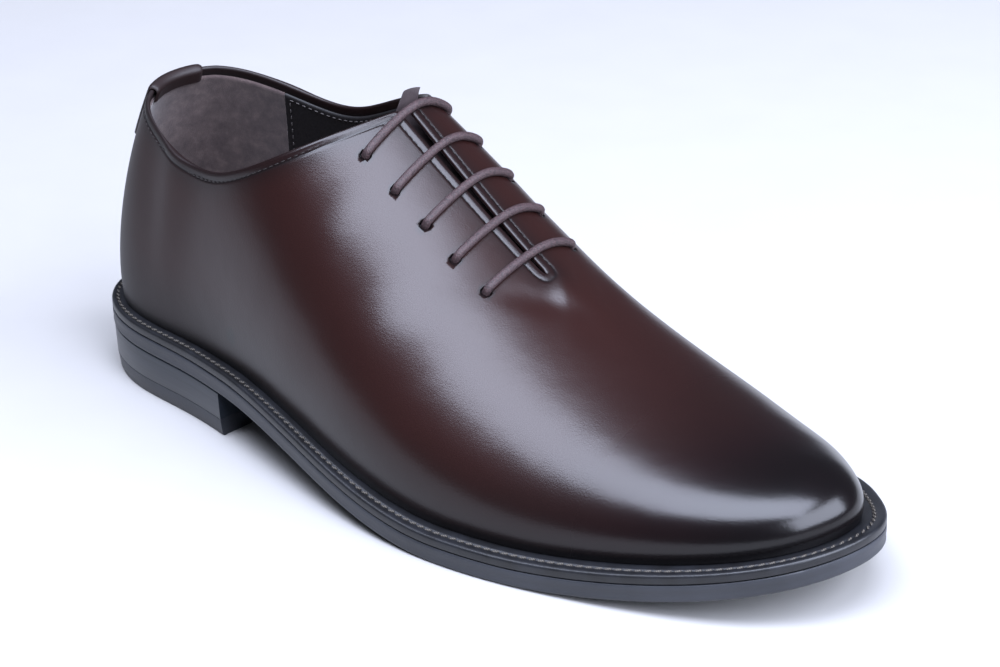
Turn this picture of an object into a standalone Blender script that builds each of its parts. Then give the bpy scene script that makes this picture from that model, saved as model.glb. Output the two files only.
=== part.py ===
"""Wholecut oxford shoe for the right foot, empty, standing on its sole.

Metres. +X runs to the toe, +Y to the inner side of the foot, +Z up; the origin is on the
floor under the middle of the heel. Every surface is worked out from the sizes and the
short tables below: the tables hold shares of a named size, one row for each section.
"""
import math

import bmesh
import bpy
import numpy as np
from mathutils import Vector

# Sizes of the last
LAST_LENGTH = 0.292        # feather edge, back of heel to toe tip
BALL_WIDTH = 0.104         # unit for everything across
RIDGE_HEIGHT = 0.082       # unit for the instep ridge over the feather edge
BACK_HEIGHT = 0.0766       # unit for the topline over the feather edge
HEEL_SETBACK = 0.040       # back of the feather edge to the middle of the heel
HEEL_BLOCK = 0.0162        # floor to outsole at the back of the heel
TOE_SPRING = 0.0130        # outsole over the floor at the toe tip
BREAST_ALONG = 0.262       # where the heel ends
TREAD_FROM = 0.640         # the outsole lies flat on the floor between these two
TREAD_TO = 0.700

# Thickness of the pieces
WALL = 0.0022              # upper leather with its lining
OUTSOLE = 0.0055
WELT = 0.0030
INSOLE = 0.0038
TOP_PIECE = 0.0058
TONGUE = 0.0018
TAB = 0.0010
GAP = 0.0003               # air left between curved pieces that meet

# Edges of the bottom pieces
WELT_REACH = 0.0072        # welt and outsole past the feather edge, at the toe
EDGE_ROUND = 0.0009        # rounding of the outsole, welt and insole edges
HEEL_TAPER = 0.0014        # how far the heel draws in from the outsole to the floor
WELT_SEAT = 0.0012         # welt left showing inside the upper's wall

# Throat and lacing
SLIT_TOP = 0.400           # along, where the slit starts to have its own edge
SLIT_END = 0.600
CORNER_SOFT = 0.006        # rounding of the corner where topline and slit meet, share of a column
SLIT_HALF_GAP = 0.0010     # at the toe end
SLIT_HALF_GAP_TOP = 0.0021
EYELET_FIRST = 0.576       # along, the eyelet nearest the toe
EYELET_STEP = 0.0410
EYELET_ARC = 0.0205        # from the ridge, measured over the leather
EYELET_ROOM = 0.00055      # hole round the lace
LACE_RADIUS = 0.00135
LACE_LIFT = 0.0005         # bars over the leather
LACE_ROOM = 0.0007         # links under the facings, to the leather and to the tongue
LINK_SHIFT = 0.0035        # links that run side by side
ROWS = 5
TONGUE_HALF = 0.0250       # half width of the tongue at its widest

# Tab folded over the topline at the back: half width round the edge, legs down each face
TAB_HALF_TURN = 0.085
TAB_OUTSIDE = 0.100
TAB_INSIDE = 0.020

# Feather edge seen from above: along the last, then inner and outer half width in BALL_WIDTH
FEATHER = [
    dict(along=0.000, inner=0.000, outer=0.000),
    dict(along=0.030, inner=0.190, outer=0.180),
    dict(along=0.100, inner=0.290, outer=0.272),
    dict(along=0.200, inner=0.312, outer=0.308),
    dict(along=0.300, inner=0.285, outer=0.366),
    dict(along=0.400, inner=0.285, outer=0.434),
    dict(along=0.500, inner=0.340, outer=0.490),
    dict(along=0.600, inner=0.412, outer=0.512),
    dict(along=0.690, inner=0.460, outer=0.490),
    dict(along=0.770, inner=0.452, outer=0.438),
    dict(along=0.850, inner=0.386, outer=0.368),
    dict(along=0.910, inner=0.308, outer=0.300),
    dict(along=0.955, inner=0.206, outer=0.226),
    dict(along=0.985, inner=0.112, outer=0.138),
    dict(along=1.000, inner=-0.006, outer=0.006),
]

# Sections: how far each side swells past the feather edge, how high the swell sits,
# and how broad the top is on each side (0.5 pointed, 0.8 broad)
SECTIONS = [
    dict(along=0.00, inner_swell=0.05, outer_swell=0.05, rise=0.29, inner_crown=0.42, outer_crown=0.42),
    dict(along=0.15, inner_swell=0.10, outer_swell=0.04, rise=0.33, inner_crown=0.72, outer_crown=0.68),
    dict(along=0.30, inner_swell=0.20, outer_swell=0.07, rise=0.39, inner_crown=0.92, outer_crown=0.76),
    dict(along=0.42, inner_swell=0.25, outer_swell=0.08, rise=0.44, inner_crown=1.02, outer_crown=0.74),
    dict(along=0.55, inner_swell=0.19, outer_swell=0.08, rise=0.47, inner_crown=0.86, outer_crown=0.66),
    dict(along=0.68, inner_swell=0.11, outer_swell=0.06, rise=0.49, inner_crown=0.66, outer_crown=0.58),
    dict(along=0.80, inner_swell=0.07, outer_swell=0.05, rise=0.52, inner_crown=0.60, outer_crown=0.59),
    dict(along=0.92, inner_swell=0.03, outer_swell=0.04, rise=0.56, inner_crown=0.59, outer_crown=0.61),
    dict(along=1.00, inner_swell=0.03, outer_swell=0.03, rise=0.58, inner_crown=0.60, outer_crown=0.60),
]

# Instep ridge: height over the feather edge in RIDGE_HEIGHT, shift to the inner side in BALL_WIDTH,
# and how steeply the top of the instep climbs toward the inner side
RIDGE = [
    dict(along=-0.05, height=1.640, inward=0.015, tilt=0.00),
    dict(along=0.15, height=1.450, inward=0.015, tilt=0.00),
    dict(along=0.30, height=1.290, inward=0.040, tilt=0.20),
    dict(along=0.42, height=1.060, inward=0.052, tilt=0.32),
    dict(along=0.52, height=0.860, inward=0.058, tilt=0.24),
    dict(along=0.62, height=0.665, inward=0.062, tilt=0.12),
    dict(along=0.72, height=0.502, inward=0.060, tilt=0.05),
    dict(along=0.82, height=0.370, inward=0.052, tilt=0.02),
    dict(along=0.92, height=0.266, inward=0.040, tilt=0.00),
    dict(along=1.02, height=0.190, inward=0.030, tilt=0.00),
]

# The ridge is straight between these; its two ends draw in from heel and toe
SPINE_START = 0.21
SPINE_STRAIGHT_FROM = 0.32
SPINE_STRAIGHT_TO = 0.80
SPINE_END = 0.93

# Topline over the feather edge in BACK_HEIGHT
TOPLINE = [
    dict(along=-0.03, inner=0.970, outer=0.970),
    dict(along=0.02, inner=0.990, outer=0.975),
    dict(along=0.08, inner=0.965, outer=0.920),
    dict(along=0.16, inner=0.880, outer=0.815),
    dict(along=0.24, inner=0.850, outer=0.805),
    dict(along=0.31, inner=0.960, outer=0.920),
    dict(along=0.37, inner=1.085, outer=1.070),
    dict(along=0.42, inner=1.190, outer=1.190),
    dict(along=0.47, inner=1.270, outer=1.270),
]

# How far welt and outsole stand out past the feather edge, in WELT_REACH
REACH = [
    dict(along=0.00, out=0.56),
    dict(along=0.25, out=0.66),
    dict(along=0.42, out=0.72),
    dict(along=0.60, out=0.89),
    dict(along=0.80, out=0.97),
    dict(along=1.00, out=1.00),
]

# Tongue: how far it hangs below the facings, as a share of the room the lace needs (its tip
# comes up between the facings, so there the share is negative), its half width in TONGUE_HALF
# and its shift to the inner side in TONGUE_HALF: the tip follows the middle of the opening
TONGUE_ROWS = [
    dict(along=0.397, drop=-1.05, half=0.14, shift=0.26),
    dict(along=0.402, drop=-0.30, half=0.19, shift=0.20),
    dict(along=0.407, drop=0.38, half=0.34, shift=0.12),
    dict(along=0.415, drop=0.86, half=0.68, shift=0.04),
    dict(along=0.430, drop=1.00, half=0.92, shift=0.00),
    dict(along=0.500, drop=1.00, half=1.00, shift=0.00),
    dict(along=0.585, drop=1.00, half=0.96, shift=0.00),
    dict(along=0.625, drop=0.60, half=0.90, shift=0.00),
    dict(along=0.660, drop=0.20, half=0.80, shift=0.00),
]


def smooth_through(table, column, along):
    """Natural cubic spline through one column of a table, read at the shares given."""
    xs = np.array([row["along"] for row in table])
    ys = np.array([row[column] for row in table])
    return spline(xs, ys, along)


def spline(xs, ys, x):
    """Natural cubic spline: the second slopes at the rows come from one tridiagonal solve."""
    n = len(xs)
    h = np.diff(xs)
    a = np.eye(n)
    r = np.zeros(n)
    for i in range(1, n - 1):
        a[i, i - 1] = h[i - 1]
        a[i, i] = 2 * (h[i - 1] + h[i])
        a[i, i + 1] = h[i]
        r[i] = 6 * ((ys[i + 1] - ys[i]) / h[i] - (ys[i] - ys[i - 1]) / h[i - 1])
    m = np.linalg.solve(a, r)
    x = np.clip(np.asarray(x, float), xs[0], xs[-1])
    k = np.clip(np.searchsorted(xs, x) - 1, 0, n - 2)
    below = x - xs[k]
    above = xs[k + 1] - x
    w = h[k]
    bend = (m[k] * above ** 3 + m[k + 1] * below ** 3) / (6 * w)
    return bend + (ys[k] / w - m[k] * w / 6) * above + (ys[k + 1] / w - m[k + 1] * w / 6) * below


def turn_of(along):
    """Share round the feather edge, 0 at the heel and 1 at the toe tip, evenly round both ends."""
    return np.arccos(np.clip(1 - 2 * np.asarray(along, float), -1, 1)) / math.pi


def along_of(turn):
    return (1 - np.cos(math.pi * np.asarray(turn, float))) / 2


def x_of(along):
    return np.asarray(along, float) * LAST_LENGTH - HEEL_SETBACK


def share_of(x):
    return (np.asarray(x, float) + HEEL_SETBACK) / LAST_LENGTH


def feather_y(turn):
    """Side place of the feather edge; turn runs -1 to 0 on the outer side, 0 to 1 on the inner."""
    turns = turn_of([row["along"] for row in FEATHER])
    inner = np.array([row["inner"] for row in FEATHER])
    outer = np.array([row["outer"] for row in FEATHER])
    ts = np.concatenate([-turns[::-1], turns[1:]])
    ys = np.concatenate([-outer[::-1], inner[1:]])
    ts = np.concatenate([ts[-5:-1] - 2, ts, ts[1:5] + 2])
    ys = np.concatenate([ys[-5:-1], ys, ys[1:5]])
    return spline(ts, ys, turn) * BALL_WIDTH


def seat_height(x):
    """Underside of the outsole over the floor: heel seat, arch, flat tread, toe spring."""
    a = share_of(x)
    heel = 1 - 0.2 * np.clip(a + 0.03, 0, None)
    at_breast = 1 - 0.2 * (BREAST_ALONG + 0.03)
    s = np.clip((a - BREAST_ALONG) / (TREAD_FROM - BREAST_ALONG), 0, 1)
    arch = at_breast * (1 - s * s * (3 - 2 * s))
    toe = np.clip((a - TREAD_TO) / (1 - TREAD_TO), 0, None)
    return HEEL_BLOCK * np.where(a < BREAST_ALONG, heel, arch) + TOE_SPRING * toe ** 1.9


def welt_top(x):
    return seat_height(x) + OUTSOLE + GAP + WELT


def spine_along(a):
    """Foot of each section on the ridge: straight above the waist, drawn in at heel and toe."""
    a = np.asarray(a, float)

    def ease(t, straight, short):
        return (t ** 3 - 2 * t ** 2 + t) * straight / short - 2 * t ** 3 + 3 * t ** 2

    low = np.clip((SPINE_STRAIGHT_FROM - a) / SPINE_STRAIGHT_FROM, 0, 1)
    high = np.clip((a - SPINE_STRAIGHT_TO) / (1 - SPINE_STRAIGHT_TO), 0, 1)
    short_low = SPINE_STRAIGHT_FROM - SPINE_START
    short_high = SPINE_END - SPINE_STRAIGHT_TO
    out = np.where(a < SPINE_STRAIGHT_FROM,
                   SPINE_STRAIGHT_FROM - short_low * ease(low, SPINE_STRAIGHT_FROM, short_low), a)
    return np.where(a > SPINE_STRAIGHT_TO,
                    SPINE_STRAIGHT_TO + short_high * ease(high, 1 - SPINE_STRAIGHT_TO, short_high), out)


def last_point(turn, t):
    """Point of the last's skin: turn round the feather edge, t from the feather edge (0) to the ridge (1).

    Each section is a cubic curve with three named handles: swell and rise lift its lower
    half outward, crown says how broad the top stays before it reaches the ridge.
    """
    turn, t = np.broadcast_arrays(np.asarray(turn, float), np.asarray(t, float))
    a = along_of(turn)
    foot = spine_along(a)
    px, py = x_of(a), feather_y(turn)
    cx, cy = x_of(foot), smooth_through(RIDGE, "inward", foot) * BALL_WIDTH
    inner = (np.tanh(turn * 12) + 1) / 2
    tip = np.clip((np.abs(turn) - 0.85) / 0.15, 0, 1)
    inner = inner * (1 - tip) + 0.5 * tip

    def both(name):
        return (smooth_through(SECTIONS, "inner_" + name, a) * inner
                + smooth_through(SECTIONS, "outer_" + name, a) * (1 - inner))

    swell = both("swell") * BALL_WIDTH / np.hypot(px - cx, py - cy)
    rise = smooth_through(SECTIONS, "rise", a)
    q = 1 - t
    out = q ** 3 + 3 * t * q * q * (1 + swell) + 3 * t * t * q * both("crown")
    up = 3 * t * q * q * rise + 3 * t * t * q + t ** 3
    x = cx + (px - cx) * out
    y = cy + (py - cy) * out
    z = welt_top(x) + GAP + up * smooth_through(RIDGE, "height", share_of(x)) * RIDGE_HEIGHT
    z = z + smooth_through(RIDGE, "tilt", foot) * (y - cy) * t * t
    return np.stack([x, y, z], -1)


def last_normal(turn, t):
    """Outward direction of the last's skin, from two short steps across the surface."""
    step = 1e-3
    side = np.where(np.asarray(t, float) > 0.5, -step, step)
    along = last_point(np.asarray(turn) + step, t) - last_point(np.asarray(turn) - step, t)
    up = (last_point(turn, np.asarray(t) + side) - last_point(turn, t)) / side[..., None]
    n = np.cross(up, along)
    return n / np.linalg.norm(n, axis=-1, keepdims=True)


def skin_at(along, arc, lift):
    """Point beside the ridge: arc metres over the leather (inner side positive), lift metres off it."""
    along, arc, lift = np.broadcast_arrays(np.asarray(along, float), np.asarray(arc, float),
                                           np.asarray(lift, float))
    samples = np.linspace(1.0, 0.2, 161)
    out = np.zeros(along.shape + (3,))
    for i in np.ndindex(along.shape):
        turn = math.copysign(float(turn_of(along[i])), arc[i])
        line = last_point(np.full(161, turn), samples)
        run = np.concatenate([[0], np.cumsum(np.linalg.norm(np.diff(line, axis=0), axis=1))])
        t = np.interp(abs(arc[i]), run, samples)
        t = min(t, 0.999)
        n = last_normal(np.array([turn]), np.array([t]))[0]
        out[i] = last_point(np.array([turn]), np.array([np.interp(abs(arc[i]), run, samples)]))[0] + n * lift[i]
    return out


def topline_z(x, inner):
    """Height of the topline over the floor at x, inner = share of the inner side's column."""
    a = share_of(x)
    share = smooth_through(TOPLINE, "inner", a) * inner + smooth_through(TOPLINE, "outer", a) * (1 - inner)
    return welt_top(x) + share * BACK_HEIGHT


def crossing(t, over):
    """First t in each row where `over` turns positive, by straight lines between samples."""
    k = np.argmax(over > 0, axis=1)
    rows = np.arange(len(over))
    has = over[rows, k] > 0
    before = np.maximum(k - 1, 0)
    f0, f1 = over[rows, before], over[rows, k]
    w = np.where(f1 > f0, -f0 / np.where(f1 > f0, f1 - f0, 1), 0)
    return np.where(has, t[before] + (t[k] - t[before]) * np.clip(w, 0, 1), 1.0)


def top_edge(turns):
    """Upper end of each column: the topline, the edge of the slit, or the ridge itself."""
    t = np.linspace(0, 1, 260)
    pts = last_point(turns[:, None], t[None, :])
    inner = np.where(turns > 0, 1.0, 0.0)
    inner = np.where(np.abs(turns) < 0.12, 0.5 + turns / 0.24, inner)
    from_topline = crossing(t, pts[..., 2] - topline_z(pts[..., 0], inner[:, None]))
    a = along_of(turns)
    from_topline = np.where(a > 0.50, 1.0, from_topline)
    share = np.clip((a - SLIT_TOP) / (SLIT_END - SLIT_TOP), 0, 1)
    half = SLIT_HALF_GAP_TOP + (SLIT_HALF_GAP - SLIT_HALF_GAP_TOP) * share
    half = half * np.sqrt(np.clip((1 - share) / 0.03, 0, 1))
    ridge = last_point(turns, np.ones(len(turns)))
    from_ridge = np.abs(pts[..., 1] - ridge[:, None, 1])
    from_slit = crossing(t, half[:, None] - from_ridge)
    from_slit = np.where((half > 1e-6) & (a > SLIT_TOP - 0.02), from_slit, 1.0)
    joined = -CORNER_SOFT * np.log(np.exp(-from_topline / CORNER_SOFT) + np.exp(-from_slit / CORNER_SOFT))
    return np.where(from_slit >= 1, from_topline, joined)


def column_turns():
    """Turns of the columns on one side: closer round the ends and beside the throat."""
    stations = np.concatenate([
        along_of(np.linspace(0, turn_of(0.10), 6)[:-1]),
        np.linspace(0.10, 0.34, 9)[:-1],
        np.linspace(0.34, SLIT_END, 17)[:-1],
        np.linspace(SLIT_END, 0.90, 10)[:-1],
        along_of(np.linspace(turn_of(0.90), 1, 7)),
    ])
    return turn_of(stations)


def mesh_object(name, points, faces, collection, smooth=True):
    mesh = bpy.data.meshes.new(name)
    mesh.from_pydata([tuple(map(float, p)) for p in points], [], [tuple(map(int, f)) for f in faces])
    mesh.update()
    bm = bmesh.new()
    bm.from_mesh(mesh)
    bmesh.ops.recalc_face_normals(bm, faces=bm.faces)
    bm.to_mesh(mesh)
    bm.free()
    mesh.polygons.foreach_set("use_smooth", [smooth] * len(mesh.polygons))
    ob = bpy.data.objects.new(name, mesh)
    collection.objects.link(ob)
    return ob


def material(name, colour, roughness, metallic=0.0):
    m = bpy.data.materials.new(name)
    m.use_nodes = True
    b = m.node_tree.nodes["Principled BSDF"]
    b.inputs["Base Color"].default_value = (*colour, 1.0)
    b.inputs["Roughness"].default_value = roughness
    b.inputs["Metallic"].default_value = metallic
    return m


def dress(ob, mat):
    ob.data.materials.append(mat)
    return ob


def solidify(ob, thickness):
    """Wall of real thickness, laid inward from the outer face."""
    mod = ob.modifiers.new("wall", "SOLIDIFY")
    mod.thickness = thickness
    mod.offset = -1.0
    mod.use_even_offset = True
    mod.use_rim = True
    return ob


def outward(ob, centre):
    """Turn an open surface so that its faces look away from the centre."""
    total = 0.0
    for face in ob.data.polygons:
        total += (face.center - Vector(centre)).dot(face.normal) * face.area
    if total < 0:
        ob.data.flip_normals()
    return ob


def build_upper(collection, cutters):
    """Hollow upper in one piece: open at the collar, along the slit and underneath."""
    side = column_turns()
    turns = np.concatenate([-side[::-1][:-1], side[:-1]])
    rows = 12
    tops = top_edge(turns)
    t = tops[:, None] * np.linspace(0, 1, rows)[None, :]
    pts = last_point(turns[:, None], t)
    n = len(turns)
    index = np.arange(n * rows).reshape(n, rows)
    on_ridge = tops >= 0.9999
    points = pts.reshape(-1, 3)
    middle = n // 2
    for i in range(middle):
        twin = (n - i) % n
        if i > 0 and on_ridge[i] and on_ridge[twin]:
            index[twin, rows - 1] = index[i, rows - 1]
    faces = []
    for i in range(n):
        j = (i + 1) % n
        for k in range(rows - 1):
            loop = [index[i, k], index[j, k], index[j, k + 1], index[i, k + 1]]
            loop = [v for s, v in enumerate(loop) if v != loop[s - 1]]
            faces.append(loop)
    used = sorted({v for f in faces for v in f})
    back = {v: s for s, v in enumerate(used)}
    faces = [[back[v] for v in f] for f in faces]
    ob = mesh_object("upper", points[used], faces, collection)
    outward(ob, (0.08, 0.0, 0.03))
    solidify(ob, WALL)
    cut = eyelet_cutters(cutters)
    mod = ob.modifiers.new("eyelet_holes", "BOOLEAN")
    mod.operation = "DIFFERENCE"
    mod.solver = "EXACT"
    mod.object = cut
    return ob


def eyelet_alongs():
    return [EYELET_FIRST - EYELET_STEP * k for k in range(ROWS)]


def eyelet_cutters(collection):
    """Ten round pins through the facings, one for each blind eyelet."""
    points, faces = [], []
    around = 16
    radius = LACE_RADIUS + EYELET_ROOM
    for along in eyelet_alongs():
        for arc in (-EYELET_ARC, EYELET_ARC):
            low, high = (Vector(skin_at(along, arc, lift)) for lift in (-2 * WALL, WALL))
            axis = (high - low).normalized()
            across = axis.cross(Vector((1, 0, 0))).normalized()
            other = axis.cross(across)
            start = len(points)
            for centre in (low, high):
                for k in range(around):
                    ang = 2 * math.pi * k / around
                    points.append(centre + radius * (math.cos(ang) * across + math.sin(ang) * other))
            for k in range(around):
                m = (k + 1) % around
                faces.append([start + k, start + m, start + around + m, start + around + k])
            faces.append([start + k for k in range(around)][::-1])
            faces.append([start + around + k for k in range(around)])
    cut = mesh_object("eyelet_pins", points, faces, collection, smooth=False)
    cut.hide_render = True
    cut.display_type = "WIRE"
    return cut


def ring_outline(inset, turns, reach=True):
    """Edge of a bottom piece as x and y: the feather edge, its reach outward, less an inset."""
    out = np.interp(along_of(turns), [r["along"] for r in REACH], [r["out"] for r in REACH]) * WELT_REACH
    out = (out if reach else 0) - inset
    step = 2e-3
    after = (turns + step + 1) % 2 - 1
    before = (turns - step + 1) % 2 - 1
    dx = x_of(along_of(after)) - x_of(along_of(before))
    dy = feather_y(after) - feather_y(before)
    size = np.hypot(dx, dy)
    return x_of(along_of(turns)) - dy / size * out, feather_y(turns) + dx / size * out


def slab(name, collection, turns, rings, closed=True):
    """Flat piece cut to an outline: a stack of rings with strips across for top and bottom.

    turns run from the outer side round the heel to the inner side; ring k is joined to
    ring k + 1, and the first and last are closed by strips between opposite points.
    """
    n = len(turns)
    points = np.concatenate([np.stack(r, -1) for r in rings])
    faces = []
    spans = n if closed else n - 1
    for k in range(len(rings) - 1):
        for i in range(spans):
            j = (i + 1) % n
            faces.append([k * n + i, k * n + j, (k + 1) * n + j, (k + 1) * n + i])
        if not closed:
            faces.append([k * n + n - 1, k * n, (k + 1) * n, (k + 1) * n + n - 1])
    for base in (0, (len(rings) - 1) * n):
        low, high = 0, n - 1
        if closed:
            low = 1
            faces.append([base, base + 1, base + n - 1])
        while high - low > 2:
            faces.append([base + low, base + low + 1, base + high - 1, base + high])
            low += 1
            high -= 1
        if high - low == 2:
            faces.append([base + low, base + low + 1, base + high])
    return mesh_object(name, points, faces, collection)


def full_turns(count):
    """Turns of a closed outline from the toe tip by the outer side, heel and inner side."""
    half = turn_of(along_of(np.linspace(0, 1, count)))
    return np.concatenate([-half[::-1], half[1:-1]])


def edge_shading(ob, degrees=35):
    """Smooth the round sides, keep the edges between side and face crisp."""
    limit = math.radians(degrees)
    bm = bmesh.new()
    bm.from_mesh(ob.data)
    for edge in bm.edges:
        edge.smooth = not (len(edge.link_faces) == 2 and edge.calc_face_angle(0) > limit)
    bm.to_mesh(ob.data)
    bm.free()
    return ob


def build_outsole(collection):
    """Long outsole from heel to toe: arch, flat tread and toe spring, edge rounded underneath."""
    turns = full_turns(49)
    rings = []
    for inset, up in ((1.0, 0.0), (0.25, 0.75), (0.0, 1.8), (0.0, OUTSOLE / EDGE_ROUND)):
        x, y = ring_outline(inset * EDGE_ROUND, turns)
        rings.append((x, y, seat_height(x) + up * EDGE_ROUND))
    return edge_shading(slab("outsole", collection, turns, rings))


def build_welt(collection):
    """Ring under the upper's edge that stands out all round; its top edge is softened."""
    turns = full_turns(49)
    n = len(turns)
    inner_edge = WALL + WELT_SEAT
    rings = []
    for inset, up in ((0.0, 0.0), (0.0, WELT - EDGE_ROUND), (EDGE_ROUND * 0.8, WELT)):
        x, y = ring_outline(inset, turns)
        rings.append((x, y, seat_height(x) + OUTSOLE + GAP + up))
    for up in (WELT, 0.0):
        x, y = ring_outline(inner_edge, turns, reach=False)
        rings.append((x, y, seat_height(x) + OUTSOLE + GAP + up))
    points = np.concatenate([np.stack(r, -1) for r in rings])
    faces = []
    for k in range(5):
        m = (k + 1) % 5
        for i in range(n):
            j = (i + 1) % n
            faces.append([k * n + i, k * n + j, m * n + j, m * n + i])
    return edge_shading(mesh_object("welt", points, faces, collection))


def build_insole(collection):
    """Board and sock the foot stands on, inside the welt."""
    turns = full_turns(37)
    edge = WALL + WELT_SEAT + GAP
    rings = []
    for inset, up in ((edge, 0.0), (edge, INSOLE - EDGE_ROUND), (edge + EDGE_ROUND, INSOLE)):
        x, y = ring_outline(inset, turns, reach=False)
        rings.append((x, y, seat_height(x) + OUTSOLE + GAP + up))
    return edge_shading(slab("insole", collection, turns, rings))


def heel_turns(count):
    """Turns from the breast on the outer side, round the back, to the breast on the inner side."""
    end = float(turn_of(BREAST_ALONG))
    return np.linspace(-end, end, count)


def heel_rings(levels):
    """Rings of the heel: its outline follows the sole and draws in toward the floor."""
    turns = heel_turns(33)
    rings = []
    for taper, height in levels:
        x, y = ring_outline(taper * HEEL_TAPER, turns)
        x = np.minimum(x, float(x_of(BREAST_ALONG)) + GAP)
        rings.append((x, y, height(x)))
    return turns, rings


def build_heel(collection):
    """Heel stack under the outsole and the top piece that meets the floor."""
    joint = TOP_PIECE + GAP
    turns, rings = heel_rings([
        (0.45, lambda x: x * 0 + joint),
        (0.15, lambda x: seat_height(x) - GAP - EDGE_ROUND),
        (0.30, lambda x: seat_height(x) - GAP),
    ])
    stack = edge_shading(slab("heel_stack", collection, turns, rings, closed=False), 50)
    turns, rings = heel_rings([
        (1.00, lambda x: x * 0),
        (0.60, lambda x: x * 0 + EDGE_ROUND * 0.7),
        (0.45, lambda x: x * 0 + TOP_PIECE),
    ])
    top = edge_shading(slab("heel_top_piece", collection, turns, rings, closed=False), 50)
    return stack, top


def build_tongue(collection):
    """Tongue under the slit, deep enough for the lace to pass over it, sewn down at its front."""
    tip, full, front = TONGUE_ROWS[0]["along"], TONGUE_ROWS[4]["along"], TONGUE_ROWS[-1]["along"]
    alongs = np.concatenate([np.linspace(tip, full, 8)[:-1], np.linspace(full, front, 11)])
    across = np.linspace(-1, 1, 11)
    room = 2 * (LACE_RADIUS + LACE_ROOM)
    points = []
    for a in alongs:
        half = float(smooth_through(TONGUE_ROWS, "half", a)) * TONGUE_HALF
        depth = WALL + GAP + float(smooth_through(TONGUE_ROWS, "drop", a)) * room
        shift = float(smooth_through(TONGUE_ROWS, "shift", a)) * TONGUE_HALF
        for c in across:
            arc = c * half + shift
            points.append(skin_at(a, arc if abs(arc) > 1e-6 else 1e-7, -depth))
    n = len(across)
    faces = []
    for i in range(len(alongs) - 1):
        for k in range(n - 1):
            faces.append([i * n + k, i * n + k + 1, (i + 1) * n + k + 1, (i + 1) * n + k])
    ob = mesh_object("tongue", points, faces, collection)
    outward(ob, (0.09, 0.0, 0.02))
    return solidify(ob, TONGUE)


def build_back_tab(collection):
    """Thin leather tab folded over the topline at the back seam."""
    turns = np.linspace(-TAB_HALF_TURN, TAB_HALF_TURN, 7)
    tops = top_edge(turns)
    outer = GAP
    inner = -WALL - GAP
    path = []
    for share in np.linspace(1, 0, 6):
        path.append((-TAB_OUTSIDE * share, outer))
    for k in range(1, 6):
        ang = math.pi * k / 6
        middle = (outer + inner) / 2
        path.append(("over", middle + (outer - middle) * math.cos(ang), math.sin(ang)))
    for share in np.linspace(0, 1, 5):
        path.append((-TAB_INSIDE * share, inner))
    rows = []
    for turn, top in zip(turns, tops):
        line = []
        here = np.array([turn])
        for step in path:
            if step[0] == "over":
                t = np.array([top])
                base, n = last_point(here, t)[0], last_normal(here, t)[0]
                up = last_point(here, t + 1e-3)[0] - base
                up = up / np.linalg.norm(up)
                line.append(base + n * step[1] + up * step[2] * (outer - inner) / 2 + up * GAP)
            else:
                t = np.array([top + step[0]])
                base, n = last_point(here, t)[0], last_normal(here, t)[0]
                line.append(base + n * step[1])
        rows.append(line)
    n = len(path)
    points = [p for line in rows for p in line]
    faces = []
    for i in range(len(rows) - 1):
        for k in range(n - 1):
            faces.append([i * n + k, i * n + k + 1, (i + 1) * n + k + 1, (i + 1) * n + k])
    ob = mesh_object("back_tab", points, faces, collection)
    away = last_normal(np.array([0.0]), np.array([tops[3] - TAB_OUTSIDE]))[0]
    if ob.data.polygons[0].normal.dot(Vector(away)) < 0:
        ob.data.flip_normals()
    mod = ob.modifiers.new("leather", "SOLIDIFY")
    mod.thickness = TAB
    mod.offset = 1.0
    mod.use_even_offset = True
    return ob


def lace_route():
    """One lace through ten eyelets: straight bars outside, links hidden under the facings.

    Each stop is (along, arc, lift). Links that share a side run a few millimetres apart.
    """
    at = eyelet_alongs()
    bar_lift = LACE_RADIUS + LACE_LIFT
    under = -(WALL + LACE_RADIUS + LACE_ROOM)
    route = []

    def through(row, side, up):
        arc = side * EYELET_ARC
        stops = [(at[row], arc, under), (at[row], arc, -WALL * 0.55), (at[row], arc, GAP)]
        stops.append((at[row], arc - side * 0.6 * LACE_RADIUS, bar_lift * 0.85))
        route.extend(stops if up else stops[::-1])

    def bar(row, side):
        for share in (0.80, 0.52, 0.25, 0.0, -0.25, -0.52, -0.80):
            arc = side * EYELET_ARC * share
            route.append((at[row], arc if share else 1e-7, bar_lift))

    def link(row, row_to, side, shift):
        arc = side * EYELET_ARC + shift
        for share in (0.22, 0.50, 0.78):
            route.append((at[row] + (at[row_to] - at[row]) * share, arc, under))

    route.append((at[4] + EYELET_STEP * 0.25, EYELET_ARC - LINK_SHIFT, under))
    route.append((at[4] + EYELET_STEP * 0.55, EYELET_ARC - LINK_SHIFT, under))
    crossings = [(3, 1, 1, -LINK_SHIFT), (1, 0, -1, 0.0), (0, 2, 1, LINK_SHIFT), (2, 4, -1, LINK_SHIFT)]
    for row, row_to, side, shift in crossings:
        through(row, side, True)
        bar(row, side)
        through(row, -side, False)
        link(row, row_to, -side, shift)
    through(4, 1, True)
    bar(4, 1)
    through(4, -1, False)
    route.append((at[4] + EYELET_STEP * 0.20, LINK_SHIFT - EYELET_ARC, under))
    return route


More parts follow.
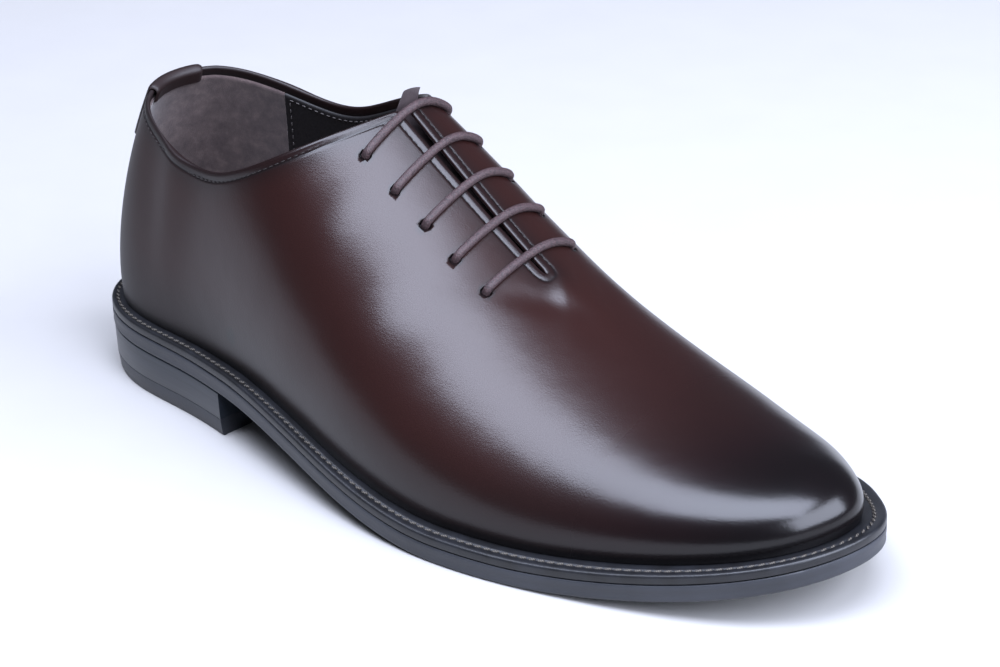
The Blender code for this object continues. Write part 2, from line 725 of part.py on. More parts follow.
def smooth_path(points, per_span):
    """Rounded path through the stops (Catmull-Rom with even spacing by distance)."""
    pts = [points[0]] + list(points) + [points[-1]]
    out = []
    for i in range(1, len(pts) - 2):
        p0, p1, p2, p3 = (np.asarray(p) for p in pts[i - 1:i + 3])
        d = [max(np.linalg.norm(b - a), 1e-6) ** 0.5 for a, b in ((p0, p1), (p1, p2), (p2, p3))]
        m1 = (p1 - p0) / d[0] - (p2 - p0) / (d[0] + d[1]) + (p2 - p1) / d[1]
        m2 = (p2 - p1) / d[1] - (p3 - p1) / (d[1] + d[2]) + (p3 - p2) / d[2]
        m1, m2 = m1 * d[1], m2 * d[1]
        for s in np.linspace(0, 1, per_span, endpoint=False):
            h = (2 * s ** 3 - 3 * s ** 2 + 1, s ** 3 - 2 * s ** 2 + s, -2 * s ** 3 + 3 * s ** 2, s ** 3 - s ** 2)
            out.append(h[0] * p1 + h[1] * m1 + h[2] * p2 + h[3] * m2)
    out.append(np.asarray(pts[-2]))
    return out


def build_lace(collection):
    """Round waxed lace as one cord."""
    stops = [skin_at(a, arc, lift) for a, arc, lift in lace_route()]
    path = smooth_path(stops, 2)
    curve = bpy.data.curves.new("lace", "CURVE")
    curve.dimensions = "3D"
    line = curve.splines.new("POLY")
    line.points.add(len(path) - 1)
    for point, place in zip(line.points, path):
        point.co = (*map(float, place), 1.0)
    curve.bevel_depth = LACE_RADIUS
    curve.bevel_resolution = 2
    curve.use_fill_caps = True
    ob = bpy.data.objects.new("lace", curve)
    collection.objects.link(ob)
    return ob


def clear_scene():
    for ob in list(bpy.data.objects):
        bpy.data.objects.remove(ob, do_unlink=True)


clear_scene()
scene = bpy.context.scene
scene.unit_settings.system = "METRIC"
scene.unit_settings.scale_length = 1.0
shoe = bpy.data.collections.new("wholecut_oxford_shoe")
scene.collection.children.link(shoe)
cutters = bpy.data.collections.new("cutters")
scene.collection.children.link(cutters)

calf = material("burnished_calf", (0.060, 0.018, 0.014), 0.28)
lining = material("lining_leather", (0.085, 0.045, 0.035), 0.60)
sock = material("sock_leather", (0.120, 0.070, 0.050), 0.55)
welt_leather = material("welt_leather", (0.012, 0.011, 0.012), 0.45)
sole_rubber = material("sole_rubber", (0.016, 0.018, 0.022), 0.42)
heel_leather = material("heel_leather", (0.014, 0.015, 0.019), 0.38)
cord = material("waxed_cord", (0.045, 0.020, 0.020), 0.55)

dress(build_upper(shoe, cutters), calf)
dress(build_tongue(shoe), lining)
dress(build_back_tab(shoe), calf)
dress(build_insole(shoe), sock)
dress(build_welt(shoe), welt_leather)
dress(build_outsole(shoe), sole_rubber)
stack, top_piece = build_heel(shoe)
dress(stack, heel_leather)
dress(top_piece, sole_rubber)
dress(build_lace(shoe), cord)
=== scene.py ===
"""Looks of the wholecut oxford, a right shoe that stands empty on its sole.

Metres, in the part's own frame: +X to the toe, +Y to the inner side, +Z up, floor at z = 0.
The script follows the shoe from the floor up, one section for each piece.
"""

import math

import bmesh
import bpy
import numpy as np
from mathutils import Matrix, Vector


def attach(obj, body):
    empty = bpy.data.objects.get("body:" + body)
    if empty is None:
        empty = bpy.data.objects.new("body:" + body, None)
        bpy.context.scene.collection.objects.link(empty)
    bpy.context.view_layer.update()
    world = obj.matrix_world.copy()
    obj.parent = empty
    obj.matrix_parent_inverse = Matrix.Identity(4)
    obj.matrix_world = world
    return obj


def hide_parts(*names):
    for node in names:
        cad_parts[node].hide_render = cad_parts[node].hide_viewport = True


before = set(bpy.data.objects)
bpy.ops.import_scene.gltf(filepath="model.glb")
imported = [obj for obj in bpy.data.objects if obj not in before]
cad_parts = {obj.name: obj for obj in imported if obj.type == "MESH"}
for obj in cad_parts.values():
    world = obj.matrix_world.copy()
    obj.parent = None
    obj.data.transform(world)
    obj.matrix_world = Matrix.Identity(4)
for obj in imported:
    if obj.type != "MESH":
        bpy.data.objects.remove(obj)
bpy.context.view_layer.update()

# Outsole: one moulded rubber sole from heel to toe, black with a slate bloom on its side.
# It is cut to the last's outline, arched behind the ball, and lifts toward the toe.
LAST_LENGTH = 0.292
BALL_WIDTH = 0.104
HEEL_SETBACK = 0.040
HEEL_BLOCK = 0.0162
TOE_SPRING = 0.0130
BREAST_ALONG = 0.262
TREAD_FROM = 0.640
TREAD_TO = 0.700
OUTSOLE = 0.0055
WELT_REACH = 0.0072


def table(names, *rows):
    """Columns of a table, by name."""
    return dict(zip(names.split(), np.array(rows, float).T))


# Plan of the feather edge: share of the last's length, and shares of the ball's width to each side
FEATHER = table(
    "along inner outer",
    (0.000, 0.000, 0.000),
    (0.030, 0.190, 0.180),
    (0.100, 0.290, 0.272),
    (0.200, 0.312, 0.308),
    (0.300, 0.285, 0.366),
    (0.400, 0.285, 0.434),
    (0.500, 0.340, 0.490),
    (0.600, 0.412, 0.512),
    (0.690, 0.460, 0.490),
    (0.770, 0.452, 0.438),
    (0.850, 0.386, 0.368),
    (0.910, 0.308, 0.300),
    (0.955, 0.206, 0.226),
    (0.985, 0.112, 0.138),
    (1.000, -0.006, 0.006),
)
# How far welt and sole stand out round the feather edge, share of WELT_REACH
REACH = table(
    "along out",
    (0.00, 0.56),
    (0.25, 0.66),
    (0.42, 0.72),
    (0.60, 0.89),
    (0.80, 0.97),
    (1.00, 1.00),
)
# Side of the sole from the floor up: how far it lies in from the outline, and its height
SOLE_SIDE = [
    (0.00110, 0.00000),
    (0.00060, 0.00012),
    (0.00022, 0.00045),
    (0.00004, 0.00090),
    (0.00010, 0.00130),
    (0.00010, 0.00330),
    (0.00000, 0.00360),
    (0.00000, 0.00500),
    (0.00010, 0.00530),
    (0.00035, 0.00550),
]


def spline(xs, ys, x):
    """Natural cubic spline: the second slopes at the rows come from one tridiagonal solve."""
    n = len(xs)
    h = np.diff(xs)
    a = np.eye(n)
    r = np.zeros(n)
    for i in range(1, n - 1):
        a[i, i - 1:i + 2] = h[i - 1], 2 * (h[i - 1] + h[i]), h[i]
        r[i] = 6 * ((ys[i + 1] - ys[i]) / h[i] - (ys[i] - ys[i - 1]) / h[i - 1])
    m = np.linalg.solve(a, r)
    x = np.clip(np.asarray(x, float), xs[0], xs[-1])
    k = np.clip(np.searchsorted(xs, x) - 1, 0, n - 2)
    below = x - xs[k]
    above = xs[k + 1] - x
    w = h[k]
    bend = (m[k] * above ** 3 + m[k + 1] * below ** 3) / (6 * w)
    return bend + (ys[k] / w - m[k] * w / 6) * above + (ys[k + 1] / w - m[k + 1] * w / 6) * below


def smooth_through(rows, name, along):
    """Natural cubic spline through one column of a table, read at the shares given."""
    return spline(rows["along"], rows[name], along)


def turn_of(along):
    """Share round the feather edge, heel 0 to toe 1: the arc cosine of 1 - 2 along, over pi."""
    return np.arccos(np.clip(1 - 2 * np.asarray(along, float), -1, 1)) / math.pi


def along_of(turn):
    return (1 - np.cos(math.pi * np.asarray(turn, float))) / 2


def x_of(along):
    return np.asarray(along, float) * LAST_LENGTH - HEEL_SETBACK


def share_of(x):
    return (np.asarray(x, float) + HEEL_SETBACK) / LAST_LENGTH


def feather_y(turn):
    """Side place of the feather edge; turn runs -1 to 0 on the outer side, 0 to 1 on the inner."""
    turns = turn_of(FEATHER["along"])
    ts = np.concatenate([-turns[::-1], turns[1:]])
    ys = np.concatenate([-FEATHER["outer"][::-1], FEATHER["inner"][1:]])
    ts = np.concatenate([ts[-5:-1] - 2, ts, ts[1:5] + 2])
    ys = np.concatenate([ys[-5:-1], ys, ys[1:5]])
    return spline(ts, ys, turn) * BALL_WIDTH


def seat_height(x):
    """Underside of the sole over the floor: falling heel seat, S-shaped arch, flat tread, toe spring."""
    a = share_of(x)
    heel = 1 - 0.2 * np.clip(a + 0.03, 0, None)
    at_breast = 1 - 0.2 * (BREAST_ALONG + 0.03)
    s = np.clip((a - BREAST_ALONG) / (TREAD_FROM - BREAST_ALONG), 0, 1)
    arch = at_breast * (1 - s * s * (3 - 2 * s))
    toe = np.clip((a - TREAD_TO) / (1 - TREAD_TO), 0, None)
    return HEEL_BLOCK * np.where(a < BREAST_ALONG, heel, arch) + TOE_SPRING * toe ** 1.9


def reach_at(turns):
    """How far welt and sole stand out there."""
    return np.interp(along_of(turns), REACH["along"], REACH["out"]) * WELT_REACH


def outline(turns, inset, reach=True):
    """x and y of a bottom piece's edge: the feather edge pushed out along its normal, less an inset."""
    out = (reach_at(turns) if reach else 0) - inset
    after = (turns + 2e-3 + 1) % 2 - 1
    before = (turns - 2e-3 + 1) % 2 - 1
    dx = x_of(along_of(after)) - x_of(along_of(before))
    dy = feather_y(after) - feather_y(before)
    size = np.hypot(dx, dy)
    return x_of(along_of(turns)) - dy / size * out, feather_y(turns) + dx / size * out


def quads_of(rows, cols, round_rows=False, round_cols=False):
    """Corner numbers of every cell of a rows by cols grid, closed round either way if asked."""
    i = np.arange(rows if round_rows else rows - 1)[:, None]
    k = np.arange(cols if round_cols else cols - 1)[None, :]
    ni, nk = (i + 1) % rows, (k + 1) % cols
    return np.stack([i * cols + k, ni * cols + k, ni * cols + nk, i * cols + nk], -1).reshape(-1, 4)


def mesh_piece(name, points, quads=None, merge=2e-6, crisp=40):
    """A piece from points and quads, or from a grid of points whose columns close round.

    Doubles are merged, ends filled, faces turned outward; edges past `crisp` degrees stay sharp.
    """
    if quads is None:
        quads = quads_of(*points.shape[:2], round_cols=True)
    points = np.reshape(points, (-1, 3))
    mesh = bpy.data.meshes.new(name)
    mesh.vertices.add(len(points))
    mesh.vertices.foreach_set("co", points.astype(np.float32).ravel())
    mesh.loops.add(quads.size)
    mesh.loops.foreach_set("vertex_index", quads.astype(np.int32).ravel())
    mesh.polygons.add(len(quads))
    mesh.polygons.foreach_set("loop_start", np.arange(0, quads.size, 4, dtype=np.int32))
    mesh.update(calc_edges=True)
    bm = bmesh.new()
    bm.from_mesh(mesh)
    bmesh.ops.remove_doubles(bm, verts=bm.verts, dist=merge)
    loose = [e for e in bm.edges if len(e.link_faces) == 1]
    if loose:
        bmesh.ops.holes_fill(bm, edges=loose)
    bmesh.ops.recalc_face_normals(bm, faces=bm.faces)
    if bm.calc_volume(signed=True) < 0:
        bmesh.ops.reverse_faces(bm, faces=bm.faces)
    for edge in bm.edges:
        edge.smooth = not (len(edge.link_faces) == 2 and edge.calc_face_angle(0) > math.radians(crisp))
    for face in bm.faces:
        face.smooth = True
    bm.to_mesh(mesh)
    bm.free()
    piece = bpy.data.objects.new(name, mesh)
    bpy.context.scene.collection.objects.link(piece)
    return piece


def slab(name, half, levels, across, reach=True, end=np.inf, follow=True, dish=0.0, crisp=40):
    """Slab between opposite points of the outline: strips below, up the side rows, strips back on top.

    A level is (inset, seat share, up), at the seat's height times the share, plus up. The strips
    follow that height or run straight. The slab ends square at x = end; dish lowers its top's middle.
    """
    sides = []
    for sign in (-1, 1):
        x, y = zip(*[outline(sign * half, inset, reach) for inset, _, _ in levels])
        x = np.minimum(np.stack(x), end)
        z = [seat_height(row) * seat + up for row, (_, seat, up) in zip(x, levels)]
        sides.append(np.stack([x, np.stack(y), np.stack(z)], -1))
    outer, inner = sides
    share = np.linspace(0, 1, across)[1:-1, None, None]
    under = outer[0] * (1 - share) + inner[0] * share
    over = inner[-1] * (1 - share) + outer[-1] * share
    if follow:
        for strip, (_, seat, up) in ((under, levels[0]), (over, levels[-1])):
            strip[..., 2] = seat_height(strip[..., 0]) * seat + up
    hollow = np.sin(math.pi * share[..., 0]) ** 2 * np.clip(1 - np.abs(2 * half - 1) ** 6, 0, 1)
    over[..., 2] -= dish * hollow
    ring = np.concatenate([under, inner, over, outer[::-1]])
    return mesh_piece(name, ring.transpose(1, 0, 2), crisp=crisp)


def linear(hex_colour, alpha=1.0):
    """sRGB hex to linear, channel by channel."""
    c = np.array([int(hex_colour[i:i + 2], 16) for i in (1, 3, 5)]) / 255
    c = np.where(c <= 0.04045, c / 12.92, ((c + 0.055) / 1.055) ** 2.4)
    return (*map(float, c), alpha)


def add(tree, kind, links=(), stops=(), **settings):
    """Adds a node. Settings name its properties or inputs, links are (input, node, output), and
    stops are the (place, hex or grey value) of a colour ramp."""
    node = tree.nodes.new("ShaderNode" + kind)
    for key, value in settings.items():
        if key in node.bl_rna.properties:
            setattr(node, key, value)
        else:
            node.inputs[key.replace("_", " ")].default_value = value
    for target, source, output in links:
        tree.links.new(source.outputs[output], node.inputs[target])
    while stops and len(node.color_ramp.elements) < len(stops):
        node.color_ramp.elements.new(0.5)
    for element, (place, value) in zip(node.color_ramp.elements if stops else (), stops):
        element.position = place
        element.color = linear(value) if isinstance(value, str) else (value, value, value, 1)
    return node


def new_material(name, **values):
    """An empty material with the values on its shader: the material, tree, shader and coordinates."""
    m = bpy.data.materials.new(name)
    m.use_nodes = True
    shader = m.node_tree.nodes["Principled BSDF"]
    for key, value in values.items():
        shader.inputs[key.replace("_", " ")].default_value = value
    return m, m.node_tree, shader, add(m.node_tree, "TexCoord")


def surface(name, tone, stops, relief=None, bump=(), output=0, **values):
    """Material of two textures, each (kind, settings): tone is read through the colour stops, relief
    lifts the grain by bump's (strength, distance). Returns material, tree, shader and tone's texture."""
    m, tree, shader, place = new_material(name, **values)
    cloud = add(tree, "Tex" + tone[0], [("Vector", place, "Object")], **tone[1])
    shade = add(tree, "ValToRGB", [(0, cloud, output)], stops)
    tree.links.new(shade.outputs[0], shader.inputs["Base Color"])
    if relief:
        grain = add(tree, "Tex" + relief[0], [("Vector", place, "Object")], **relief[1])
        lifted = add(tree, "Bump", [("Height", grain, output)], Strength=bump[0], Distance=bump[1])
        tree.links.new(lifted.outputs[0], shader.inputs["Normal"])
    return m, tree, shader, cloud


def finish_piece(piece, material, slot, *nodes):
    """Dresses a finished piece, lets it ride and hides the imported solids that it stands for."""
    piece.data.materials.append(material)
    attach(piece, "root")
    if nodes:
        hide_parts(*nodes)


# Moulded rubber: slate black, satin, with a faint cloudy bloom a few centimetres wide and a
# pebble of about 0.5 mm, which keeps its highlight broken and dull.
rubber, tree, shader, cloud = surface(
    "moulded_sole_rubber", ("Noise", dict(Scale=45.0, Detail=3.0)), [(0.30, "#25272c"), (0.70, "#32343a")],
    ("Noise", dict(Scale=1800.0, Detail=2.0)), (0.25, 0.0002), IOR=1.52)
shine = add(tree, "ValToRGB", [(0, cloud, 0)], [(0.2, 0.40), (0.8, 0.52)])
tree.links.new(shine.outputs[0], shader.inputs["Roughness"])

half_round = np.concatenate([
    np.linspace(0, 0.10, 14)[:-1], np.linspace(0.10, 0.86, 150)[:-1], np.linspace(0.86, 1, 44)])
outsole = slab("outsole_rubber", half_round, [(inset, 1, up) for inset, up in SOLE_SIDE], 17)
finish_piece(outsole, rubber, "sole_rubber", "outsole")

# Heel: a block of stacked leather lifts, inked and polished black, with a rubber top piece
# nailed under it. Its side follows the sole, draws in toward the floor, and the breast is cut straight.
GAP = 0.0003
TOP_PIECE = 0.0058
HEEL_TAPER = 0.0014
LIFT_LINES = 78.0          # wave scale: a level line every 2 pi / (20 x 78), which is 4 mm
heel_half = np.linspace(0, float(turn_of(BREAST_ALONG)), 60)
breast = float(x_of(BREAST_ALONG)) + GAP
joint = TOP_PIECE + GAP
heel_stack = slab("heel_lifts", heel_half, [
    (0.45 * HEEL_TAPER + 0.0001, 0.0, joint - 0.0002),
    (0.45 * HEEL_TAPER, 0.0, joint),
    (0.30 * HEEL_TAPER, 0.5, joint * 0.5),
    (0.20 * HEEL_TAPER, 1.0, -0.0005),
    (0.28 * HEEL_TAPER, 1.0, -0.0001),
    (0.40 * HEEL_TAPER, 1.0, 0.0),
], 9, end=breast, crisp=50)
top_piece = slab("heel_top_rubber", heel_half, [
    (HEEL_TAPER + 0.0006, 0.0, 0.0),
    (HEEL_TAPER + 0.0001, 0.0, 0.0002),
    (0.85 * HEEL_TAPER, 0.0, 0.0008),
    (0.45 * HEEL_TAPER, 0.0, TOP_PIECE - 0.0003),
    (0.45 * HEEL_TAPER + 0.0001, 0.0, TOP_PIECE),
], 9, end=breast, crisp=50)

# Inked leather lifts: fine level lines at the real lift height, streaked along the side, satin wax.
lift_leather, tree, shader, place = new_material(
    "inked_leather_lifts", Roughness=0.40, Coat_Weight=0.15, Coat_Roughness=0.30)
streak = add(tree, "Mapping", [("Vector", place, "Object")], Scale=(40, 40, 900))
noise = add(tree, "TexNoise", [("Vector", streak, 0)], Scale=1.0, Detail=3.0, Roughness=0.6)
tone = add(tree, "ValToRGB", [(0, noise, 0)], [(0.30, "#1d2127"), (0.72, "#272c34")])
wave = add(tree, "TexWave", [("Vector", place, "Object")], bands_direction="Z", Scale=LIFT_LINES,
           Distortion=0.3)
line = add(tree, "ValToRGB", [(0, wave, 1)], [(0.0, 0.0), (0.10, 1.0)])
bump = add(tree, "Bump", [("Height", line, 0)], Strength=0.05, Distance=0.0002)
fine = add(tree, "Bump", [("Height", noise, 0), ("Normal", bump, 0)], Strength=0.20, Distance=0.0002)
tree.links.new(tone.outputs[0], shader.inputs["Base Color"])
tree.links.new(fine.outputs[0], shader.inputs["Normal"])
finish_piece(heel_stack, lift_leather, "heel_leather", "heel_stack")
finish_piece(top_piece, rubber, "sole_rubber", "heel_top_piece")

# Welt: a strip of black vegetable-tanned leather sewn round the feather edge. It stands out all
# round, its outer edge is trimmed flush with the sole and inked, and a groove holds the seam.
WELT = 0.0030
WALL = 0.0022
WELT_SEAT = 0.0012
GROOVE_AT = 0.50           # of the reach, in from the outer edge
GROOVE_HALF = 0.00085
GROOVE_DEPTH = 0.00050
all_round = np.concatenate([-half_round[::-1], half_round[1:-1]])


def welt_line(turns, inset, up):
    """Points at an inset from the outline, up metres over the welt's base."""
    x, y = outline(turns, inset)
    return np.stack([x, y, seat_height(x) + OUTSOLE + GAP + up], -1)


reach_now = reach_at(all_round)
seam_in = GROOVE_AT * reach_now
groove_low = WELT - 0.8 * GROOVE_DEPTH
welt_back = reach_now + WALL + WELT_SEAT
welt_points = np.stack([welt_line(all_round, inset, up) for inset, up in [
    (0.00035, 0.0), (0.00010, 0.0002), (0.0, 0.0005), (0.0, WELT - 0.0011), (0.00008, WELT - 0.0007),
    (0.00030, WELT - 0.0003), (0.00065, WELT - 0.00008), (0.00110, WELT),
    (seam_in - GROOVE_HALF - 0.0002, WELT), (seam_in - GROOVE_HALF + 0.0002, WELT - 0.0001),
    (seam_in - 0.4 * GROOVE_HALF, groove_low), (seam_in, WELT - GROOVE_DEPTH),
    (seam_in + 0.4 * GROOVE_HALF, groove_low),
    (seam_in + GROOVE_HALF - 0.0002, WELT - 0.0001), (seam_in + GROOVE_HALF + 0.0002, WELT),
    (welt_back, WELT), (welt_back, 0.0),
]])
welt = mesh_piece("welt_strip", welt_points,
                  quads_of(*welt_points.shape[:2], round_rows=True, round_cols=True), crisp=60)

# Edge-inked welt leather: black, a slightly mottled satin that turns slate where it catches light.
welt_leather = surface(
    "inked_welt_leather", ("Noise", dict(Scale=160.0, Detail=4.0)), [(0.35, "#131315"), (0.75, "#1f2024")],
    ("Noise", dict(Scale=2200.0, Detail=2.0)), (0.3, 0.0002), Roughness=0.38)[0]
finish_piece(welt, welt_leather, "welt_leather", "welt")

# Welt seam: waxed linen lockstitch, grey-brown, each stitch slanted in the groove. Pitch about 3 mm.
WELT_STITCH = 0.0030
WELT_GRAIN = 0.0025        # one stitch's length
WELT_THREAD = 0.00042


def unit(v):
    return v / np.linalg.norm(v, axis=-1, keepdims=True)


def run_of(lines):
    """Length along each line of points: the running sum of its steps, from 0 at its first point."""
    steps = np.linalg.norm(np.diff(lines, axis=-2), axis=-1)
    return np.concatenate([np.zeros(steps.shape[:-1] + (1,)), np.cumsum(steps, axis=-1)], -1)


def points_at(at, run, values):
    """Points of a line at the lengths given, straight between its samples."""
    return np.stack([np.interp(at, run, values[:, k]) for k in range(3)], -1)


def stitch_row(name, path, up, pitch, length, radius, slant=0.0):
    """Joined stitches along a path: rounded grains, laid tangent to the path and turned by slant."""
    run = run_of(path)
    count = int(run[-1] // pitch)
    at = (np.arange(count) + 0.5) * run[-1] / count
    centre = points_at(at, run, path)
    along = unit(points_at(at + pitch / 4, run, path) - points_at(at - pitch / 4, run, path))
    normal = points_at(at, run, up)
    normal = unit(normal - (normal * along).sum(1, keepdims=True) * along)
    turned = along * math.cos(slant) + np.cross(normal, along) * math.sin(slant)
    beside = np.cross(normal, turned)
    sides, rings = 8, 7
    around = np.linspace(0, 2 * math.pi, sides, endpoint=False)
    lengthwise = np.linspace(-1, 1, rings)
    girth = np.sqrt(np.clip(1 - np.abs(lengthwise) ** 2.6, 0, 1))
    grain = np.stack([
        np.broadcast_to(lengthwise[:, None] * length / 2, (rings, sides)),
        girth[:, None] * np.cos(around) * radius, girth[:, None] * np.sin(around) * radius], -1)
    points = (centre[:, None, None] + grain[..., :1] * turned[:, None, None]
              + grain[..., 1:2] * beside[:, None, None] + grain[..., 2:] * normal[:, None, None])
    cells = quads_of(rings, sides, round_cols=True)
    quads = (np.arange(count)[:, None, None] * rings * sides + cells).reshape(-1, 4)
    return mesh_piece(name, points, quads, merge=1e-7, crisp=80)


def thread_material(name, dark, light, twist):
    """Waxed thread: twist bands turning round the strand, painted light on their raised crests and dark in
    the grooves as painted shade, dull with a waxy sheen.
    """
    band = ("Wave", dict(bands_direction="DIAGONAL", Scale=twist, Distortion=1.0))
    return surface(name, band, [(0.2, dark), (0.8, light)], band, (0.5, 0.0001), output=1,
                   Roughness=0.62)[0]


seam_turns = np.linspace(-1, 1, 1400)
seam = welt_line(seam_turns, GROOVE_AT * reach_at(seam_turns), WELT - GROOVE_DEPTH + 0.55 * WELT_THREAD)
linen = thread_material("waxed_linen_thread", "#2b2825", "#58524a", 700.0)
welt_seam = stitch_row("welt_seam", seam, np.tile([0.0, 0, 1], (len(seam), 1)), WELT_STITCH,
                       WELT_GRAIN, WELT_THREAD, slant=math.radians(24))
finish_piece(welt_seam, linen, "welt_leather")

# Insole: a fibre board under a full sock of smooth brown lining leather, glued to the welt rib.
# The sock's edge is rounded and its middle lies a little lower, as a foot presses it.
INSOLE = 0.0038
SOCK_DISH = 0.0008
insole_edge = WALL + WELT_SEAT + GAP
base = OUTSOLE + GAP
insole = slab("insole_sock", half_round, [
    (insole_edge + 0.0004, 1, base),
    (insole_edge, 1, base + 0.0004),
    (insole_edge, 1, base + INSOLE - 0.0011),
    (insole_edge + 0.0003, 1, base + INSOLE - 0.0005),
    (insole_edge + 0.0012, 1, base + INSOLE),
], 25, reach=False, follow=False, dish=SOCK_DISH, crisp=60)

# Sock leather: drum-dyed brown, matt, with a loose grain of about 1 mm.
sock = surface(
    "drum_dyed_sock_leather", ("Noise", dict(Scale=60.0, Detail=4.0)), [(0.3, "#3a2620"), (0.7, "#54392e")],
    ("Voronoi", dict(Scale=1100.0)), (0.25, 0.0003), Roughness=0.58)[0]
finish_piece(insole, sock, "sock_leather", "insole")

# Upper: one whole piece of calf, lasted, burnished by hand and mirror-polished at the toe.
# It has no seam but the one at the back under the tab; its edges are skived and folded over.
RIDGE_HEIGHT = 0.082
BACK_HEIGHT = 0.0766
SLIT_TOP = 0.400
SLIT_END = 0.600
SLIT_HALF_GAP = 0.0010
SLIT_HALF_GAP_TOP = 0.0021
CORNER_SOFT = 0.006
SPINE_START = 0.21
SPINE_STRAIGHT_FROM = 0.32
SPINE_STRAIGHT_TO = 0.80
SPINE_END = 0.93
CALF = 0.0015              # folded calf at the edges; the lining fills the rest of the wall
SEAM_IN = 0.0024           # edge seam, below the folded edge
SEAM_PRESS = 0.00020
BEAD = 0.00011             # swelling of the folded edge, and its place below the edge
BEAD_IN = 0.0007
# Half sections of the last: swell in ball widths, rise in ridge heights, crown in reaches to the ridge
SECTIONS = table(
    "along inner_swell outer_swell rise inner_crown outer_crown",
    (0.00, 0.05, 0.05, 0.29, 0.42, 0.42),
    (0.15, 0.10, 0.04, 0.33, 0.72, 0.68),
    (0.30, 0.20, 0.07, 0.39, 0.92, 0.76),
    (0.42, 0.25, 0.08, 0.44, 1.02, 0.74),
    (0.55, 0.19, 0.08, 0.47, 0.86, 0.66),
    (0.68, 0.11, 0.06, 0.49, 0.66, 0.58),
    (0.80, 0.07, 0.05, 0.52, 0.60, 0.59),
    (0.92, 0.03, 0.04, 0.56, 0.59, 0.61),
    (1.00, 0.03, 0.03, 0.58, 0.60, 0.60),
)
# Ridge: height in RIDGE_HEIGHT, offset to the inner side in ball widths, and sideways tilt
RIDGE = table(
    "along height inward tilt",
    (-0.05, 1.640, 0.015, 0.00),
    (0.15, 1.450, 0.015, 0.00),
    (0.30, 1.290, 0.040, 0.20),
    (0.42, 1.060, 0.052, 0.32),
    (0.52, 0.860, 0.058, 0.24),
    (0.62, 0.665, 0.062, 0.12),
    (0.72, 0.502, 0.060, 0.05),
    (0.82, 0.370, 0.052, 0.02),
    (0.92, 0.266, 0.040, 0.00),
    (1.02, 0.190, 0.030, 0.00),
)
# Topline over the feather edge on both sides, share of BACK_HEIGHT
TOPLINE = table(
    "along inner outer",
    (-0.03, 0.970, 0.970),
    (0.02, 0.990, 0.975),
    (0.08, 0.965, 0.920),
    (0.16, 0.880, 0.815),
    (0.24, 0.850, 0.805),
    (0.31, 0.960, 0.920),
    (0.37, 1.085, 1.070),
    (0.42, 1.190, 1.190),
    (0.47, 1.270, 1.270),
)
CREASE_DEPTH = 0.03        # keeps a crease off the leather of the other side
# Soft creases left by lasting: middle (along, arc from the ridge, inner side positive), half
# length and half width, turn from the shoe's length toward the inner side, and height in metres
CREASES = [
    (0.622, 0.0010, 0.0110, 0.0040, -42, 0.00120),
    (0.622, -0.0080, 0.0130, 0.0045, 34, -0.00060),
    (0.648, 0.0120, 0.0150, 0.0055, -34, -0.00055),
    (0.655, -0.0040, 0.0110, 0.0060, -12, -0.00035),
    (0.160, -0.0720, 0.0340, 0.0075, 80, 0.00100),
    (0.105, -0.0760, 0.0320, 0.0085, 88, -0.00090),
    (0.215, -0.0660, 0.0300, 0.0090, 74, -0.00035),
    (0.400, -0.0520, 0.0300, 0.0080, 66, -0.00045),
    (0.470, -0.0620, 0.0300, 0.0110, 62, -0.00060),
    (0.540, -0.0500, 0.0260, 0.0100, 58, 0.00035),
    (0.470, 0.0600, 0.0300, 0.0100, -62, -0.00045),
    (0.150, 0.0720, 0.0320, 0.0085, -84, 0.00055),
]


def welt_top(x, t):
    """Height of the feather edge; over the leather its bends are eased over 15 mm each way."""
    sharp = seat_height(x)
    near = np.linspace(-0.015, 0.015, 7)
    weight = 1 - np.abs(near) / 0.020
    eased = sum(w * seat_height(x + d) for d, w in zip(near, weight)) / weight.sum()
    share = np.clip(t / 0.25, 0, 1)
    return sharp * (1 - share) + eased * share + OUTSOLE + GAP + WELT


def spine_along(a):
    """Foot of each section on the ridge: straight above the waist, drawn in at heel and toe."""
    def ease(t, straight, short):
        return (t ** 3 - 2 * t ** 2 + t) * straight / short - 2 * t ** 3 + 3 * t ** 2

    low = np.clip((SPINE_STRAIGHT_FROM - a) / SPINE_STRAIGHT_FROM, 0, 1)
    high = np.clip((a - SPINE_STRAIGHT_TO) / (1 - SPINE_STRAIGHT_TO), 0, 1)
    short_low = SPINE_STRAIGHT_FROM - SPINE_START
    short_high = SPINE_END - SPINE_STRAIGHT_TO
    out = np.where(a < SPINE_STRAIGHT_FROM,
                   SPINE_STRAIGHT_FROM - short_low * ease(low, SPINE_STRAIGHT_FROM, short_low), a)
    return np.where(a > SPINE_STRAIGHT_TO,
                    SPINE_STRAIGHT_TO + short_high * ease(high, 1 - SPINE_STRAIGHT_TO, short_high), out)


